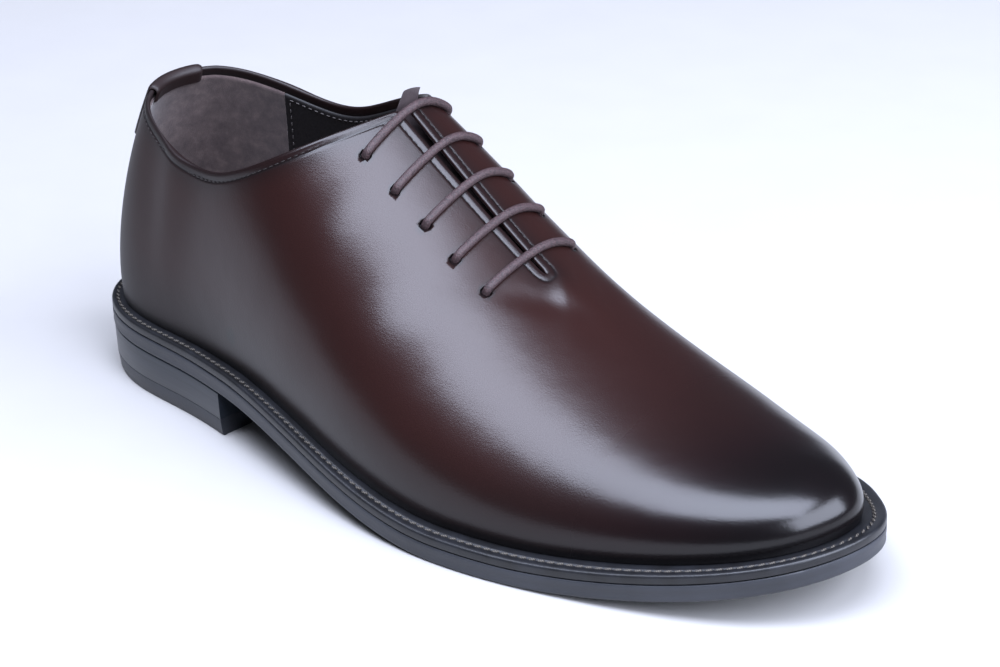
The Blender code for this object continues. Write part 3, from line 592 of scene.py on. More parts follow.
def last_point(turn, t):
    """The last's skin: turn round the feather edge, t from it (0) to the ridge (1).

    Each section is a cubic curve with three handles: swell and rise lift its lower half
    outward, crown says how broad the top stays before it reaches the ridge.
    """
    turn, t = np.broadcast_arrays(np.asarray(turn, float), np.asarray(t, float))
    a = along_of(turn)
    foot = spine_along(a)
    px, py = x_of(a), feather_y(turn)
    cx, cy = x_of(foot), smooth_through(RIDGE, "inward", foot) * BALL_WIDTH
    inner = (np.tanh(turn * 12) + 1) / 2
    tip = np.clip((np.abs(turn) - 0.80) / 0.20, 0, 1)
    tip = tip * tip * (3 - 2 * tip)
    inner = inner * (1 - tip) + 0.5 * tip

    def both(name):
        return (smooth_through(SECTIONS, "inner_" + name, a) * inner
                + smooth_through(SECTIONS, "outer_" + name, a) * (1 - inner))

    swell = both("swell") * BALL_WIDTH / np.hypot(px - cx, py - cy)
    rise = smooth_through(SECTIONS, "rise", a)
    q = 1 - t
    out = q ** 3 + 3 * t * q * q * (1 + swell) + 3 * t * t * q * both("crown")
    up = 3 * t * q * q * rise + 3 * t * t * q + t ** 3
    x = cx + (px - cx) * out
    y = cy + (py - cy) * out
    z = welt_top(x, t) + GAP + up * smooth_through(RIDGE, "height", share_of(x)) * RIDGE_HEIGHT
    z = z + smooth_through(RIDGE, "tilt", foot) * (y - cy) * t * t
    return np.stack([x, y, z], -1)


def last_normal(turn, t):
    """Outward direction of the skin: the cross product of two short steps over it."""
    turn, t = np.broadcast_arrays(np.asarray(turn, float), np.asarray(t, float))
    step = 1e-3
    side = np.where(t > 0.5, -step, step)
    along = last_point(turn + step, t) - last_point(turn - step, t)
    up = (last_point(turn, t + side) - last_point(turn, t)) / side[..., None]
    return unit(np.cross(up, along))


def crossing(t, over):
    """First t in each row where `over` turns positive, by straight lines between samples."""
    k = np.argmax(over > 0, axis=1)
    rows = np.arange(len(over))
    has = over[rows, k] > 0
    before = np.maximum(k - 1, 0)
    f0, f1 = over[rows, before], over[rows, k]
    w = np.where(f1 > f0, -f0 / np.where(f1 > f0, f1 - f0, 1), 0)
    return np.where(has, t[before] + (t[k] - t[before]) * np.clip(w, 0, 1), 1.0)


def top_edge(turns):
    """Upper end of each column: topline, slit's edge or ridge; the two edges meet in a soft corner."""
    t = np.linspace(0, 1, 420)
    pts = last_point(turns[:, None], t[None, :])
    inner = np.where(turns > 0, 1.0, 0.0)
    inner = np.where(np.abs(turns) < 0.12, 0.5 + turns / 0.24, inner)[:, None]
    a_at = share_of(pts[..., 0])
    level = (smooth_through(TOPLINE, "inner", a_at) * inner
             + smooth_through(TOPLINE, "outer", a_at) * (1 - inner))
    line = seat_height(pts[..., 0]) + OUTSOLE + GAP + WELT + level * BACK_HEIGHT
    a = along_of(turns)
    from_topline = np.where(a > 0.50, 1.0, crossing(t, pts[..., 2] - line))
    share = np.clip((a - SLIT_TOP) / (SLIT_END - SLIT_TOP), 0, 1)
    half = SLIT_HALF_GAP_TOP + (SLIT_HALF_GAP - SLIT_HALF_GAP_TOP) * share
    half = half * np.sqrt(np.clip((1 - share) / 0.03, 0, 1))
    ridge = last_point(turns, np.ones(len(turns)))
    from_slit = crossing(t, half[:, None] - np.abs(pts[..., 1] - ridge[:, None, 1]))
    from_slit = np.where((half > 1e-6) & (a > SLIT_TOP - 0.02), from_slit, 1.0)
    joined = -CORNER_SOFT * np.log(
        np.exp(-from_topline / CORNER_SOFT) + np.exp(-from_slit / CORNER_SOFT))
    return np.where(from_slit >= 1, from_topline, joined)


ROUND_END = 0.012          # columns stand closer about the slit's round end
upper_side = np.concatenate([
    np.linspace(0, 0.20, 34)[:-1],
    turn_of(np.linspace(float(along_of(0.20)), 0.37, 52)[:-1]),
    turn_of(np.linspace(0.37, SLIT_END - ROUND_END, 74)[:-1]),
    turn_of(SLIT_END - ROUND_END * (1 - np.linspace(0, 1, 15) ** 0.6)[:-1]),
    turn_of(np.linspace(SLIT_END, SLIT_END + 0.02, 14)[:-1]),
    turn_of(np.linspace(SLIT_END + 0.02, 0.92, 72)[:-1]),
    np.linspace(float(turn_of(0.92)), 1.0, 46)[:-1],
])
upper_turns = np.concatenate([-upper_side[::-1][:-1], upper_side])
upper_tops = top_edge(upper_turns)
ON_RIDGE = 0.9995          # columns that reach this t are closed on the ridge
opened = upper_tops < ON_RIDGE
fine_t = np.linspace(0, 1, 500)
edge_rows = np.concatenate([np.arange(0, 12) * 0.00030, 0.0036 + np.arange(0, 8) * 0.0006])

# Rows of the grid: the top ones lie at set distances below the edge, the rest evenly down to the welt
LOWER_ROWS = 44
upper_down = last_point(upper_turns[:, None], upper_tops[:, None] * (1 - fine_t))
upper_t = np.empty((len(upper_turns), len(edge_rows) + LOWER_ROWS))
for i, run in enumerate(run_of(upper_down)):
    arcs = np.concatenate([edge_rows, np.linspace(edge_rows[-1], run[-1], LOWER_ROWS + 1)[1:]])
    upper_t[i] = upper_tops[i] * (1 - np.interp(arcs, run, fine_t))[::-1]
skin = last_point(upper_turns[:, None], upper_t)
skin_normal = last_normal(upper_turns[:, None], np.minimum(upper_t, ON_RIDGE))
n_col, n_row = upper_t.shape
twin = (n_col - 1) - np.arange(n_col)
closed_top = ~opened
skin_normal[closed_top, -1] = unit(skin_normal[closed_top, -1] + skin_normal[twin[closed_top], -1])
edge_line = skin[opened, -1]


def edge_distance(points):
    """Distance from each point to the nearest cut edge, topline or slit."""
    flat = points.reshape(-1, 3)
    out = np.empty(len(flat))
    for k in range(0, len(flat), 2000):
        gap = flat[k:k + 2000, None] - edge_line[None]
        out[k:k + 2000] = np.sqrt((gap ** 2).sum(-1).min(1))
    return out.reshape(points.shape[:-1])


PRESSED_ROWS = 22           # top rows of the grid that bead and seam reach
near_edge = np.full((n_col, n_row), 1.0)
near_edge[:, -PRESSED_ROWS:] = edge_distance(skin[:, -PRESSED_ROWS:])


def bead_lift(d):
    """Folded edge: a low bell-shaped bead, less the bell-shaped line of the pressed seam."""
    bead = BEAD * np.exp(-((d - BEAD_IN) / 0.0006) ** 2)
    press = SEAM_PRESS * np.exp(-((d - SEAM_IN) / 0.00045) ** 2)
    return bead - press


def crease_lift(points):
    """Sum of the creases: each an elongated bell, its axes laid on the leather beside the ridge."""
    total = np.zeros(points.shape[:-1])
    down = np.linspace(1, 0.05, 400)
    for along, arc, long, wide, turned, high in CREASES:
        turn = math.copysign(float(turn_of(along)), arc)
        t = float(np.interp(abs(arc), run_of(last_point(turn, down)), down))
        normal = last_normal(turn, t)
        ahead = unit(np.array([1.0, 0, 0]) - normal[0] * normal)
        angle = math.radians(turned)
        main = ahead * math.cos(angle) + np.cross(normal, ahead) * math.sin(angle)
        gap = points - last_point(turn, t)
        u, v = (gap @ main) / long, (gap @ np.cross(normal, main)) / wide
        w = (gap @ normal) / CREASE_DEPTH
        total += high * np.exp(-u ** 2 - v ** 2 - w ** 2)
    return total


outer_lift = bead_lift(near_edge) + crease_lift(skin)
outer_skin = skin + skin_normal * outer_lift[..., None]
inner_skin = skin - skin_normal * CALF
climb = unit(skin[:, -1] - skin[:, -3])
half_turn = np.linspace(0, math.pi, 7)[1:-1, None]
bulge, level = np.sin(half_turn) * CALF * 0.5, np.cos(half_turn)
mid_top = (outer_skin[:, -1] + inner_skin[:, -1]) / 2
half_top = (outer_skin[:, -1] - inner_skin[:, -1]) / 2
rim = mid_top[:, None] + half_top[:, None] * level + climb[:, None] * bulge * opened[:, None, None]
rim_count = rim.shape[1]
grid = np.concatenate([outer_skin, rim, inner_skin[:, ::-1]], 1)
cols, rows = grid.shape[:2]
quads = quads_of(cols, rows, round_rows=True, round_cols=True).reshape(cols, rows, 4)
both_closed = closed_top & closed_top[(np.arange(cols) + 1) % cols]
keep = np.ones((cols, rows), bool)
keep[both_closed, n_row - 1:n_row + rim_count] = False
upper = mesh_piece("calf_upper", grid, quads[keep], crisp=70)


def vertices_of(piece):
    """Places of all vertices, one row each."""
    co = np.empty(len(piece.data.vertices) * 3, np.float32)
    piece.data.vertices.foreach_get("co", co)
    return co.reshape(-1, 3).astype(float)


def set_attribute(piece, name, values):
    """Sets a value on every vertex, one for all or one for each."""
    layer = piece.data.attributes.new(name, "FLOAT", "POINT")
    layer.data.foreach_set("value", np.full(len(piece.data.vertices), values, np.float32))


def ease(x, low, high):
    """0 below low, 1 above high, S-shaped between."""
    s = np.clip((x - low) / (high - low), 0, 1)
    return s * s * (3 - 2 * s)


# Burnished box calf: aniline-dyed red-brown, darkened almost to black by hand at toe, heel, welt and
# edges; smooth, with a fine grain of about 0.5 mm that breaks the edge of each highlight, under wax.
# Painted shade darkens the calf further over the welt, round the eyelet holes and along the seam groove.
calf, tree, shader, place = new_material(
    "burnished_box_calf", IOR=1.43, Coat_Weight=0.06, Coat_Roughness=0.16, Coat_IOR=1.45)
here = [("Vector", place, "Object")]
dark, foot, press, polish = [
    add(tree, "Attribute", attribute_name=name) for name in ("burnish", "painted_shade_low_holes", "painted_shade_seam_groove", "polish")]
cloud = add(tree, "TexNoise", here, Scale=28.0, Detail=4.0, Roughness=0.55)
mottle = add(tree, "Math", [(0, cloud, 0)], operation="MULTIPLY_ADD")
mottle.inputs[1].default_value = 0.30
mottle.inputs[2].default_value = -0.15
mixed = add(tree, "Math", [(0, dark, "Fac"), (1, mottle, 0)], operation="ADD", use_clamp=True)
tone = add(tree, "ValToRGB", [(0, mixed, 0)],
           [(0.0, "#24110f"), (0.35, "#1c0e0d"), (0.70, "#140a0b"), (1.0, "#090708")])
# Painted shade: where either painted-shade mask is high, the tone turns to near black #0b090a.
painted_shade_mask = add(tree, "Math", [(0, foot, "Fac"), (1, press, "Fac")], operation="MAXIMUM", use_clamp=True)
tone_with_painted_shade = add(tree, "Mix", [("Factor", painted_shade_mask, 0), ("A", tone, 0)], data_type="RGBA")
tone_with_painted_shade.inputs["B"].default_value = linear("#0b090a")
grain = add(tree, "TexVoronoi", here, Scale=2000.0, Randomness=1.0)
fibre = add(tree, "TexNoise", here, Scale=900.0, Detail=3.0, Roughness=0.6)
relief = add(tree, "Math", [(0, grain, 0), (1, fibre, 0)], operation="ADD")
bump = add(tree, "Bump", [("Height", relief, 0)], Strength=0.16, Distance=0.00010)
slow = add(tree, "TexNoise", here, Scale=55.0, Detail=2.0)
wave = add(tree, "Bump", [("Height", slow, 0), ("Normal", bump, 0)], Strength=0.14, Distance=0.0015)
rough = add(tree, "ValToRGB", [(0, polish, "Fac")], [(0.0, 0.54), (0.5, 0.29), (1.0, 0.22)])
tree.links.new(tone_with_painted_shade.outputs["Result"], shader.inputs["Base Color"])
tree.links.new(rough.outputs[0], shader.inputs["Roughness"])
tree.links.new(wave.outputs[0], shader.inputs["Normal"])

# Eyelets: ten blind holes punched through both facings, five a side, with no metal ring outside.
EYELET_FIRST = 0.576
EYELET_STEP = 0.0410
EYELET_ARC = 0.0205
EYELET_ROOM = 0.00035       # the leather closes round the lace
LACE_RADIUS = 0.00135
ROWS = 5


def skin_frames(along, arc):
    """Points and normals beside the ridge: arc metres over the leather, inner side positive."""
    along, arc = np.broadcast_arrays(np.asarray(along, float), np.asarray(arc, float))
    samples = np.linspace(1.0, 0.1, 241)
    turn = np.copysign(turn_of(along.ravel()), arc.ravel())
    runs = run_of(last_point(turn[:, None], samples))
    t = np.array([np.interp(abs(s), run, samples) for s, run in zip(arc.ravel(), runs)])
    shape = along.shape + (3,)
    return last_point(turn, t).reshape(shape), last_normal(turn, np.minimum(t, 0.999)).reshape(shape)


eyelet_alongs = EYELET_FIRST - EYELET_STEP * np.arange(ROWS)
hole_at, hole_up = skin_frames(np.repeat(eyelet_alongs, 2), np.tile([-EYELET_ARC, EYELET_ARC], ROWS))
PIN_SIDES = 20
around = np.linspace(0, 2 * math.pi, PIN_SIDES, endpoint=False)[:, None]
hole_side = unit(np.cross(hole_up, [1.0, 0, 0]))
hole_other = np.cross(hole_up, hole_side)
circle = hole_side[:, None] * np.cos(around) + hole_other[:, None] * np.sin(around)
depths = np.array([-0.006, 0.004])     # of the punch, under and over the leather
pins = (hole_at[:, None, None] + hole_up[:, None, None] * depths[None, :, None, None]
        + circle[:, None] * (LACE_RADIUS + EYELET_ROOM))
pin_starts = np.arange(len(hole_at))[:, None, None] * 2 * PIN_SIDES
pin_quads = pin_starts + quads_of(2, PIN_SIDES, round_cols=True)
punch = mesh_piece("eyelet_punch", pins, pin_quads.reshape(-1, 4))
punch.hide_render = True
punch.display_type = "WIRE"

# The ten holes are cut, and the cut mesh is kept in place of the live Boolean
cutter = upper.modifiers.new("eyelets", "BOOLEAN")
cutter.operation = "DIFFERENCE"
cutter.solver = "EXACT"
cutter.object = punch
bpy.context.view_layer.update()
done = bpy.data.meshes.new_from_object(upper.evaluated_get(bpy.context.evaluated_depsgraph_get()))
upper.modifiers.clear()
upper.data = done
upper.data.materials.clear()
co = vertices_of(upper)
a_here = share_of(co[:, 0])
above = co[:, 2] - (seat_height(co[:, 0]) + OUTSOLE + GAP + WELT)
to_edge = edge_distance(co)
toe_dark = ease(a_here, 0.66, 1.0)
low_dark = 1 - ease(above, 0.000, 0.030)
heel_dark = 1 - ease(a_here, -0.02, 0.16)
edge_dark = np.exp(-(to_edge / 0.006) ** 2)
TOE_INK, LOW_INK, HEEL_INK, EDGE_INK = 0.96, 0.62, 0.45, 0.55    # most that each place darkens
burnish = 1 - ((1 - TOE_INK * toe_dark) * (1 - LOW_INK * low_dark)
               * (1 - HEEL_INK * heel_dark) * (1 - EDGE_INK * edge_dark))
to_hole = np.full(len(co), 1.0)
for at, axis in zip(hole_at, hole_up):
    gap = co - at
    to_hole = np.minimum(to_hole, np.linalg.norm(gap - (gap @ axis)[:, None] * axis, axis=1))
# Painted shade: the lowest few millimetres over the welt and the leather round each eyelet hole darken to
# near black.
shade_low_and_holes = 1 - np.minimum(ease(above, 0.0012, 0.0042), ease(to_hole, 0.0018, 0.0030))
set_attribute(upper, "burnish", burnish)
set_attribute(upper, "painted_shade_low_holes", shade_low_and_holes)
set_attribute(upper, "polish", 0.5 * ease(a_here, 0.08, 0.34) + 0.5 * ease(a_here, 0.70, 0.95))
# Painted shade along the seam groove, 2.4 mm below each cut edge.
set_attribute(upper, "painted_shade_seam_groove", 0.7 * np.exp(-((to_edge - SEAM_IN) / 0.0005) ** 2) * (above > 0.01))
finish_piece(upper, calf, "burnished_calf", "upper")

# Edge seams: a single row of dark waxed thread 2.4 mm in from every folded edge, pressed into the
# calf so that only its tops show. Stitches are 1.6 mm long, 11 to the inch.
EDGE_STITCH = 0.0023
EDGE_GRAIN = 0.0016        # one stitch's length
EDGE_THREAD = 0.00018
PRESSED_IN = 0.00012
silk = thread_material("dark_waxed_seam_thread", "#120d0d", "#2b2220", 900.0)


def t_below(turns, inset):
    """t at a distance below the top edge: the edge's own t, less the share that the distance takes."""
    tops = top_edge(turns)
    runs = run_of(last_point(turns[:, None], tops[:, None] * (1 - fine_t)))
    return np.array([top * (1 - np.interp(inset, run, fine_t)) for top, run in zip(tops, runs)])


def edge_path(turns, inset, lift):
    """Line on the leather an inset below the top edge, with its normals."""
    t = t_below(turns, inset)
    normal = last_normal(turns, np.minimum(t, ON_RIDGE))
    return last_point(turns, t) + normal * lift, normal


seam_side = turn_of(np.linspace(0.0, SLIT_END - 0.004, 420))
for name, sign in (("edge_seam_outer", -1), ("edge_seam_inner", 1)):
    line, normal = edge_path(sign * seam_side, SEAM_IN, -PRESSED_IN)
    seam = stitch_row(name, line, normal, EDGE_STITCH, EDGE_GRAIN, EDGE_THREAD)
    finish_piece(seam, silk, "burnished_calf")

# Lining: grey-brown suede round the heel and black smooth leather forward of it, glued inside the
# calf and trimmed 2.4 mm below the topline, where the folded calf shows as a dark band.
LINING_DEPTH = 0.0023
LINING = 0.0007
GLUE = 0.00008
SUEDE_TO = 0.140
BAND = 0.0024


def lining_piece(name, turns):
    """Thin closed shell inside the calf, from just over the insole to a band below the top edge."""
    share = np.concatenate([np.linspace(0, 0.96, 36), [0.98, 0.992, 1.0]])
    t = t_below(turns, BAND)[:, None] * share
    base = last_point(turns[:, None], t)
    normal = last_normal(turns[:, None], np.minimum(t, 0.998))
    depth = np.where(share > 0.999, LINING_DEPTH - 0.6 * LINING, LINING_DEPTH)
    far = base - normal * depth[:, None]
    near = base - normal * (CALF + GLUE)
    return mesh_piece(name, np.concatenate([near, far[:, ::-1]], 1), crisp=60)


suede_turn = float(turn_of(SUEDE_TO))
suede_lining = lining_piece("suede_heel_lining", np.linspace(-suede_turn, suede_turn, 120))
fore = turn_of(np.linspace(SUEDE_TO + 0.001, 0.985, 110))
outer_lining = lining_piece("leather_lining_outer", -fore)
inner_lining = lining_piece("leather_lining_inner", fore)

# Suede: the flesh side of calf, grey-brown, its nap lying in small strokes of a few millimetres.
suede = surface(
    "nubuck_heel_grip", ("Noise", dict(Scale=210.0, Detail=6.0, Roughness=0.72, Distortion=0.2)),
    [(0.30, "#382c2c"), (0.50, "#483b3a"), (0.72, "#5c4e4b")], ("Noise", dict(Scale=2600.0, Detail=2.0)),
    (0.45, 0.0003), Roughness=0.92, Sheen_Weight=0.35, Sheen_Roughness=0.45)[0]
finish_piece(suede_lining, suede, "lining_leather")

# Smooth lining leather: chrome-tanned black, matt.
pores = ("Noise", dict(Scale=1400.0, Detail=3.0))
black_lining = surface("black_lining_leather", pores, [(0.3, "#100e0f"), (0.7, "#1c191a")], pores,
                       (0.3, 0.0002), Roughness=0.55)[0]
finish_piece(outer_lining, black_lining, "lining_leather")
finish_piece(inner_lining, black_lining, "lining_leather")

# Lining seams: pale stitches 1.6 mm below the lining's top edge and down its front joint.
LINING_STITCH = 0.0024
LINING_THREAD = 0.00020
pale = thread_material("grey_lining_thread", "#2f2b2a", "#575150", 900.0)
on_lining = LINING_DEPTH + PRESSED_IN
inside_side = turn_of(np.linspace(SUEDE_TO + 0.006, 0.385, 160))
for name, sign in (("lining_seam_outer", -1), ("lining_seam_inner", 1)):
    rim_line = edge_path(sign * inside_side, BAND + 0.0016, -on_lining)
    joint_t = np.linspace(0.10, float(top_edge(np.array([sign * suede_turn]))[0]) * 0.93, 80)
    joint_turn = np.full(80, sign * float(turn_of(SUEDE_TO + 0.008)))
    normal = last_normal(joint_turn, joint_t)
    joint_line = (last_point(joint_turn, joint_t) - normal * on_lining, normal)
    for title, (line, normal) in ((name, rim_line), (name + "_joint", joint_line)):
        seam = stitch_row(title, line, -normal, LINING_STITCH, EDGE_GRAIN, LINING_THREAD)
        finish_piece(seam, pale, "lining_leather")

# Back tab: a thin strip of the same calf folded over the topline to cover the back seam.
TAB = 0.0008
TAB_HALF_TURN = 0.085
TAB_OUTSIDE = 0.100
TAB_INSIDE = 0.020
TAB_OUT_ROWS, TAB_IN_ROWS, TAB_COLUMNS = 26, 22, 33
tab_turns = np.linspace(-TAB_HALF_TURN, TAB_HALF_TURN, TAB_COLUMNS)
tab_tops = top_edge(tab_turns)
fold = np.linspace(0, math.pi, 13)[1:-1]
tab_outer, tab_inner = GAP, -WALL - GAP
tab_drop = np.concatenate([
    np.linspace(TAB_OUTSIDE, 0, TAB_OUT_ROWS), fold * 0, np.linspace(0, TAB_INSIDE, TAB_IN_ROWS)])
tab_lift = np.concatenate([
    np.full(TAB_OUT_ROWS, tab_outer),
    (tab_outer + tab_inner) / 2 + (tab_outer - tab_inner) / 2 * np.cos(fold),
    np.full(TAB_IN_ROWS, tab_inner)])
over = np.concatenate([np.zeros(TAB_OUT_ROWS), np.sin(fold), np.zeros(TAB_IN_ROWS)])
over *= CALF / 2 + 2 * GAP
tab_t = tab_tops[:, None] - tab_drop
tab_base = last_point(tab_turns[:, None], tab_t)
tab_normal = last_normal(tab_turns[:, None], tab_t)
tab_up = unit(last_point(tab_turns[:, None], tab_t + 1e-3) - tab_base)
mid = tab_base + tab_normal * tab_lift[:, None] + tab_up * over[:, None]
away = unit(np.cross(np.gradient(mid, axis=1), np.gradient(mid, axis=0)))
middle = TAB_COLUMNS // 2
away *= np.sign(away[middle, 0] @ tab_normal[middle, 0])
width_share = np.abs(np.linspace(-1, 1, TAB_COLUMNS))
pillow = np.sqrt(np.clip(1 - width_share ** 14, 0.02, 1))[:, None, None]
tab_out = mid + away * TAB * pillow
back_tab = mesh_piece("back_tab_strip", np.concatenate([mid, tab_out[:, ::-1]], 1), crisp=50)
for name, value in (("burnish", 0.45), ("painted_shade_low_holes", 0.0), ("polish", 0.0), ("painted_shade_seam_groove", 0.0)):
    set_attribute(back_tab, name, value)
finish_piece(back_tab, calf, "burnished_calf", "back_tab")

# Tongue: soft lining leather, 1.8 mm, sewn down in front of the slit and lying under both facings.
TONGUE = 0.0018
TONGUE_HALF = 0.0250
LACE_ROOM = 0.0007
# Depth below the facings (share of the room for the lace), half width and shift to the inner side
TONGUE_ROWS = table(
    "along drop half shift",
    (0.397, -1.05, 0.14, 0.26),
    (0.402, -0.30, 0.19, 0.20),
    (0.407, 0.38, 0.34, 0.12),
    (0.415, 0.86, 0.68, 0.04),
    (0.430, 1.00, 0.92, 0.00),
    (0.500, 1.00, 1.00, 0.00),
    (0.585, 1.00, 0.96, 0.00),
    (0.625, 0.60, 0.90, 0.00),
    (0.660, 0.20, 0.80, 0.00),
)
TONGUE_FREE = 0.430         # its tip lies before this, and is sampled closer
tongue_from, tongue_to = TONGUE_ROWS["along"][[0, -1]]
tongue_alongs = np.concatenate([
    np.linspace(tongue_from, TONGUE_FREE, 26)[:-1], np.linspace(TONGUE_FREE, tongue_to, 50)])
tongue_across = np.linspace(-1, 1, 42)
tongue_half = smooth_through(TONGUE_ROWS, "half", tongue_alongs) * TONGUE_HALF
tongue_drop = smooth_through(TONGUE_ROWS, "drop", tongue_alongs) * 2 * (LACE_RADIUS + LACE_ROOM)
tongue_shift = smooth_through(TONGUE_ROWS, "shift", tongue_alongs) * TONGUE_HALF
tongue_arc = tongue_across * tongue_half[:, None] + tongue_shift[:, None]
base, normal = skin_frames(tongue_alongs[:, None], tongue_arc)
tongue_top = base - normal * (WALL + GAP + tongue_drop)[:, None, None]
edge_thin = 1 - 0.35 * np.abs(tongue_across) ** 8
tongue_under = tongue_top - normal * TONGUE * edge_thin[:, None]
tongue = mesh_piece("tongue_leather", np.concatenate([tongue_top, tongue_under[:, ::-1]], 1), crisp=60)
tongue_skin = surface(
    "soft_tongue_leather", ("Noise", dict(Scale=120.0, Detail=3.0)), [(0.3, "#3d3537"), (0.7, "#544a4b")],
    ("Voronoi", dict(Scale=1300.0)), (0.3, 0.0002), Roughness=0.45)[0]
finish_piece(tongue, tongue_skin, "lining_leather", "tongue")

# Lace: one round waxed cotton lace of 2.7 mm in ten eyelets, straight bars outside and its links
# hidden under the facings; its two ends lie under the topmost eyelets.
LACE_SUNK = 0.00015         # bars press into the leather by this much
LINK_SHIFT = 0.0035         # hidden links lie this far beside the eyelets
RIDGE_SUNK = 0.0005         # the bar's middle is drawn down this much more
BRAID = 0.00030             # ring spacing; the braid's waves repeat every 2 pi of it


def lace_route():
    """Stops of the lace as (along, arc, lift), eyelet by eyelet."""
    at = eyelet_alongs
    bar_lift = LACE_RADIUS - LACE_SUNK
    under = -(WALL + LACE_RADIUS + LACE_ROOM)
    route = [(at[4] + EYELET_STEP * 0.25, EYELET_ARC - LINK_SHIFT, under),
             (at[4] + EYELET_STEP * 0.55, EYELET_ARC - LINK_SHIFT, under)]

    def through(row, side, up):
        arc = side * EYELET_ARC
        stops = [(at[row], arc - side * inward, lift) for inward, lift in (
            (0, under), (0, -WALL * 0.8), (0.0002, -WALL * 0.2),
            (0.75 * LACE_RADIUS, bar_lift * 0.72), (1.9 * LACE_RADIUS, bar_lift))]
        route.extend(stops if up else stops[::-1])

    def bar(row, side):
        for share in (0.70, 0.48, 0.25, 0.0, -0.25, -0.48, -0.70):
            arc = side * EYELET_ARC * share
            sunk = RIDGE_SUNK * max(1 - abs(share) / 0.5, 0.0)
            route.append((at[row], arc if share else 1e-7, bar_lift - sunk))

    def link(row, row_to, side, shift):
        arc = side * EYELET_ARC + shift
        for share in (0.22, 0.50, 0.78):
            route.append((at[row] + (at[row_to] - at[row]) * share, arc, under))

    crossings = [(3, 1, 1, -LINK_SHIFT), (1, 0, -1, 0.0), (0, 2, 1, LINK_SHIFT), (2, 4, -1, LINK_SHIFT)]
    for row, row_to, side, shift in crossings:
        through(row, side, True)
        bar(row, side)
        through(row, -side, False)
        link(row, row_to, -side, shift)
    through(4, 1, True)
    bar(4, 1)
    through(4, -1, False)
    route.append((at[4] + EYELET_STEP * 0.20, LINK_SHIFT - EYELET_ARC, under))
    return np.array(route)


def smooth_path(stops, per_span):
    """Catmull-Rom curve through the stops with knots spaced by the root of their distance."""
    p = np.concatenate([stops[:1], stops, stops[-1:]])
    p0, p1, p2, p3 = p[:-3], p[1:-2], p[2:-1], p[3:]
    d = [np.sqrt(np.maximum(np.linalg.norm(b - a, axis=1, keepdims=True), 1e-6))
         for a, b in ((p0, p1), (p1, p2), (p2, p3))]
    m1 = ((p1 - p0) / d[0] - (p2 - p0) / (d[0] + d[1]) + (p2 - p1) / d[1]) * d[1]
    m2 = ((p2 - p1) / d[1] - (p3 - p1) / (d[1] + d[2]) + (p3 - p2) / d[2]) * d[1]
    s = np.linspace(0, 1, per_span, endpoint=False)[None, :, None]
    h = (2 * s ** 3 - 3 * s ** 2 + 1, s ** 3 - 2 * s ** 2 + s, -2 * s ** 3 + 3 * s ** 2, s ** 3 - s ** 2)
    curve = h[0] * p1[:, None] + h[1] * m1[:, None] + h[2] * p2[:, None] + h[3] * m2[:, None]
    return np.concatenate([curve.reshape(-1, 3), stops[-1:]])


def cord_tube(name, path, radius, sides):
    """Round cord along a path: rings at even spacing, each turned with the path so that none twists.

    The radius waves by two crossed sines, as braided strands do, and draws in at the ends.
    """
    run = run_of(path)
    count = int(run[-1] / BRAID)
    at = np.linspace(0, run[-1], count)
    line = points_at(at, run, path)
    ahead = unit(np.gradient(line, axis=0))
    beside = np.empty_like(ahead)
    side = unit(np.cross(ahead[0], [0.0, 0.3, 1.0]))
    for i, direction in enumerate(ahead):
        side = unit(side - (side @ direction) * direction)
        beside[i] = side
    other = np.cross(ahead, beside)
    angle = np.linspace(0, 2 * math.pi, sides, endpoint=False)
    phase = at[:, None] / BRAID
    braid = 1 + 0.045 * np.sin(4 * angle + phase) * np.sin(4 * angle - phase)
    taper = np.sqrt(np.clip(np.minimum(at, at[::-1]) / radius, 0.05, 1))[:, None]
    r = (radius * braid * taper)[..., None]
    spokes = beside[:, None] * np.cos(angle)[:, None] + other[:, None] * np.sin(angle)[:, None]
    return mesh_piece(name, line[:, None] + r * spokes, merge=1e-7, crisp=80)


route = lace_route()
bases, normals = skin_frames(route[:, 0], route[:, 1])
lace_path = smooth_path(bases + normals * route[:, 2:3], 12)
lace = cord_tube("waxed_lace", lace_path, LACE_RADIUS, 14)

# Waxed cotton: braided strands of about 0.5 mm, plum brown, dull; painted highlight makes each strand's top
# lighter, and painted shade darkens the gaps between strands.
strand = ("Voronoi", dict(Scale=1900.0))
cotton = surface(
    "waxed_cotton_braid", strand, [(0.0, "#523e3e"), (0.45, "#3a2a2c"), (1.0, "#201517")], strand,
    (0.7, -0.0002), Roughness=0.60)[0]
finish_piece(lace, cotton, "waxed_cord", "lace")

# Floor: a wide sheet of pale matt paper, so that the shoe stands in its own soft shadow.
floor = bpy.data.meshes.new("floor")
floor.from_pydata([(-6, -6, 0), (6, -6, 0), (6, 6, 0), (-6, 6, 0)], [], [(0, 1, 2, 3)])
ground = bpy.data.objects.new("floor", floor)
bpy.context.scene.collection.objects.link(ground)
paper = surface(
    "white_backdrop_paper", ("Noise", dict(Scale=30.0, Detail=2.0)), [(0.0, "#adaba8"), (1.0, "#b1afac")],
    Roughness=0.9, Specular_IOR_Level=0.1)[0]
floor.materials.append(paper)

# Light: two soft boxes where the leather shows their reflections: one broad and low past the toe,
# one long and overhead toward the outer side. A dim room fills the rest.
SHOE_MIDDLE = Vector((0.10, 0.0, 0.05))


def soft_box(name, azimuth, elevation, away, width, height, strength, colour):
    """Square lamp aimed at the shoe's middle; azimuth 0 is off the outer side, 90 off the toe."""
    a, e = math.radians(azimuth), math.radians(elevation)
    direction = Vector((math.sin(a) * math.cos(e), -math.cos(a) * math.cos(e), math.sin(e)))
    data = bpy.data.lights.new(name, "AREA")
    data.shape = "RECTANGLE"
    data.size = width
    data.size_y = height
    data.energy = strength * math.pi * width * height
    data.color = linear(colour)[:3]
    lamp = bpy.data.objects.new(name, data)
    bpy.context.scene.collection.objects.link(lamp)
    lamp.location = SHOE_MIDDLE + direction * away
    lamp.rotation_euler = (-direction).to_track_quat("-Z", "Y").to_euler()


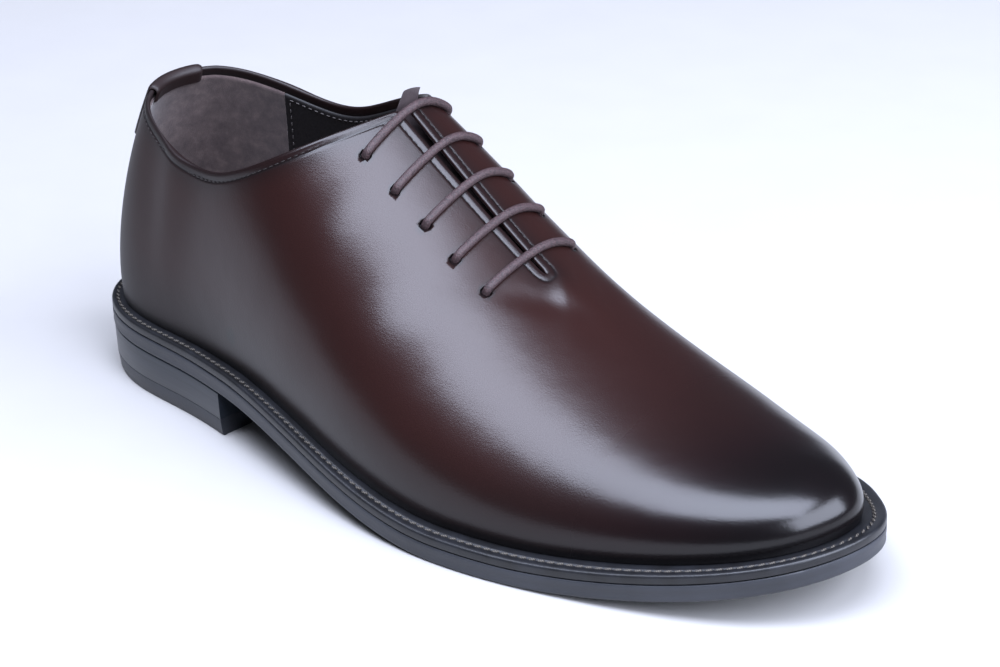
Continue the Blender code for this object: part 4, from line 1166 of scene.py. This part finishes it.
soft_box("toe_box", 92, 34, 1.6, 2.0, 1.15, 10.0, "#e2eaff")
soft_box("top_box", 20, 76, 1.55, 1.70, 0.95, 13.0, "#e0e8ff")
world = bpy.data.worlds.new("dim_room")
bpy.context.scene.world = world
world.use_nodes = True
world.node_tree.nodes["Background"].inputs["Color"].default_value = (0.75, 0.82, 1.0, 1)
world.node_tree.nodes["Background"].inputs["Strength"].default_value = 0.12
bpy.context.scene.view_settings.view_transform = "Standard"

# Camera: the photograph's angle on the shoe, from above the outer side of the toe, turned and
# zoomed so that this one shoe fills the frame.
AZIMUTH = math.radians(39.3)
ELEVATION = math.radians(23.9)
ROLL = math.radians(-0.42)
DISTANCE = 0.9
AIM = Vector((0.1, 0.0, 0.04))
SHIFT_RIGHT = 0.0538
SHIFT_UP = 0.0086
FOCAL_PIXELS = 1872        # of the photograph's 1000 pixel width
ZOOM = 1.55
SHOE_PIXEL = (421.0, 351.0)     # the shoe's middle in the photograph
FRAME_MIDDLE = (500.0, 333.5)
back = Vector((math.sin(AZIMUTH) * math.cos(ELEVATION), -math.cos(AZIMUTH) * math.cos(ELEVATION),
               math.sin(ELEVATION)))
right = Vector((math.cos(AZIMUTH), math.sin(AZIMUTH), 0))
up = back.cross(right)
right, up = (right * math.cos(ROLL) + up * math.sin(ROLL), up * math.cos(ROLL) - right * math.sin(ROLL))
stand = AIM + back * DISTANCE + right * SHIFT_RIGHT + up * SHIFT_UP
off_right = (SHOE_PIXEL[0] - FRAME_MIDDLE[0]) / FOCAL_PIXELS
off_up = (FRAME_MIDDLE[1] - SHOE_PIXEL[1]) / FOCAL_PIXELS
back = (back - right * off_right - up * off_up).normalized()
right = (right - back * right.dot(back)).normalized()
up = back.cross(right)
data = bpy.data.cameras.new("camera")
data.sensor_width = 36.0
data.lens = FOCAL_PIXELS * ZOOM * 36.0 / 1000
camera = bpy.data.objects.new("camera", data)
bpy.context.scene.collection.objects.link(camera)
turned = Matrix((right, up, back)).transposed().to_4x4()
turned.translation = stand
camera.matrix_world = turned
bpy.context.scene.camera = camera
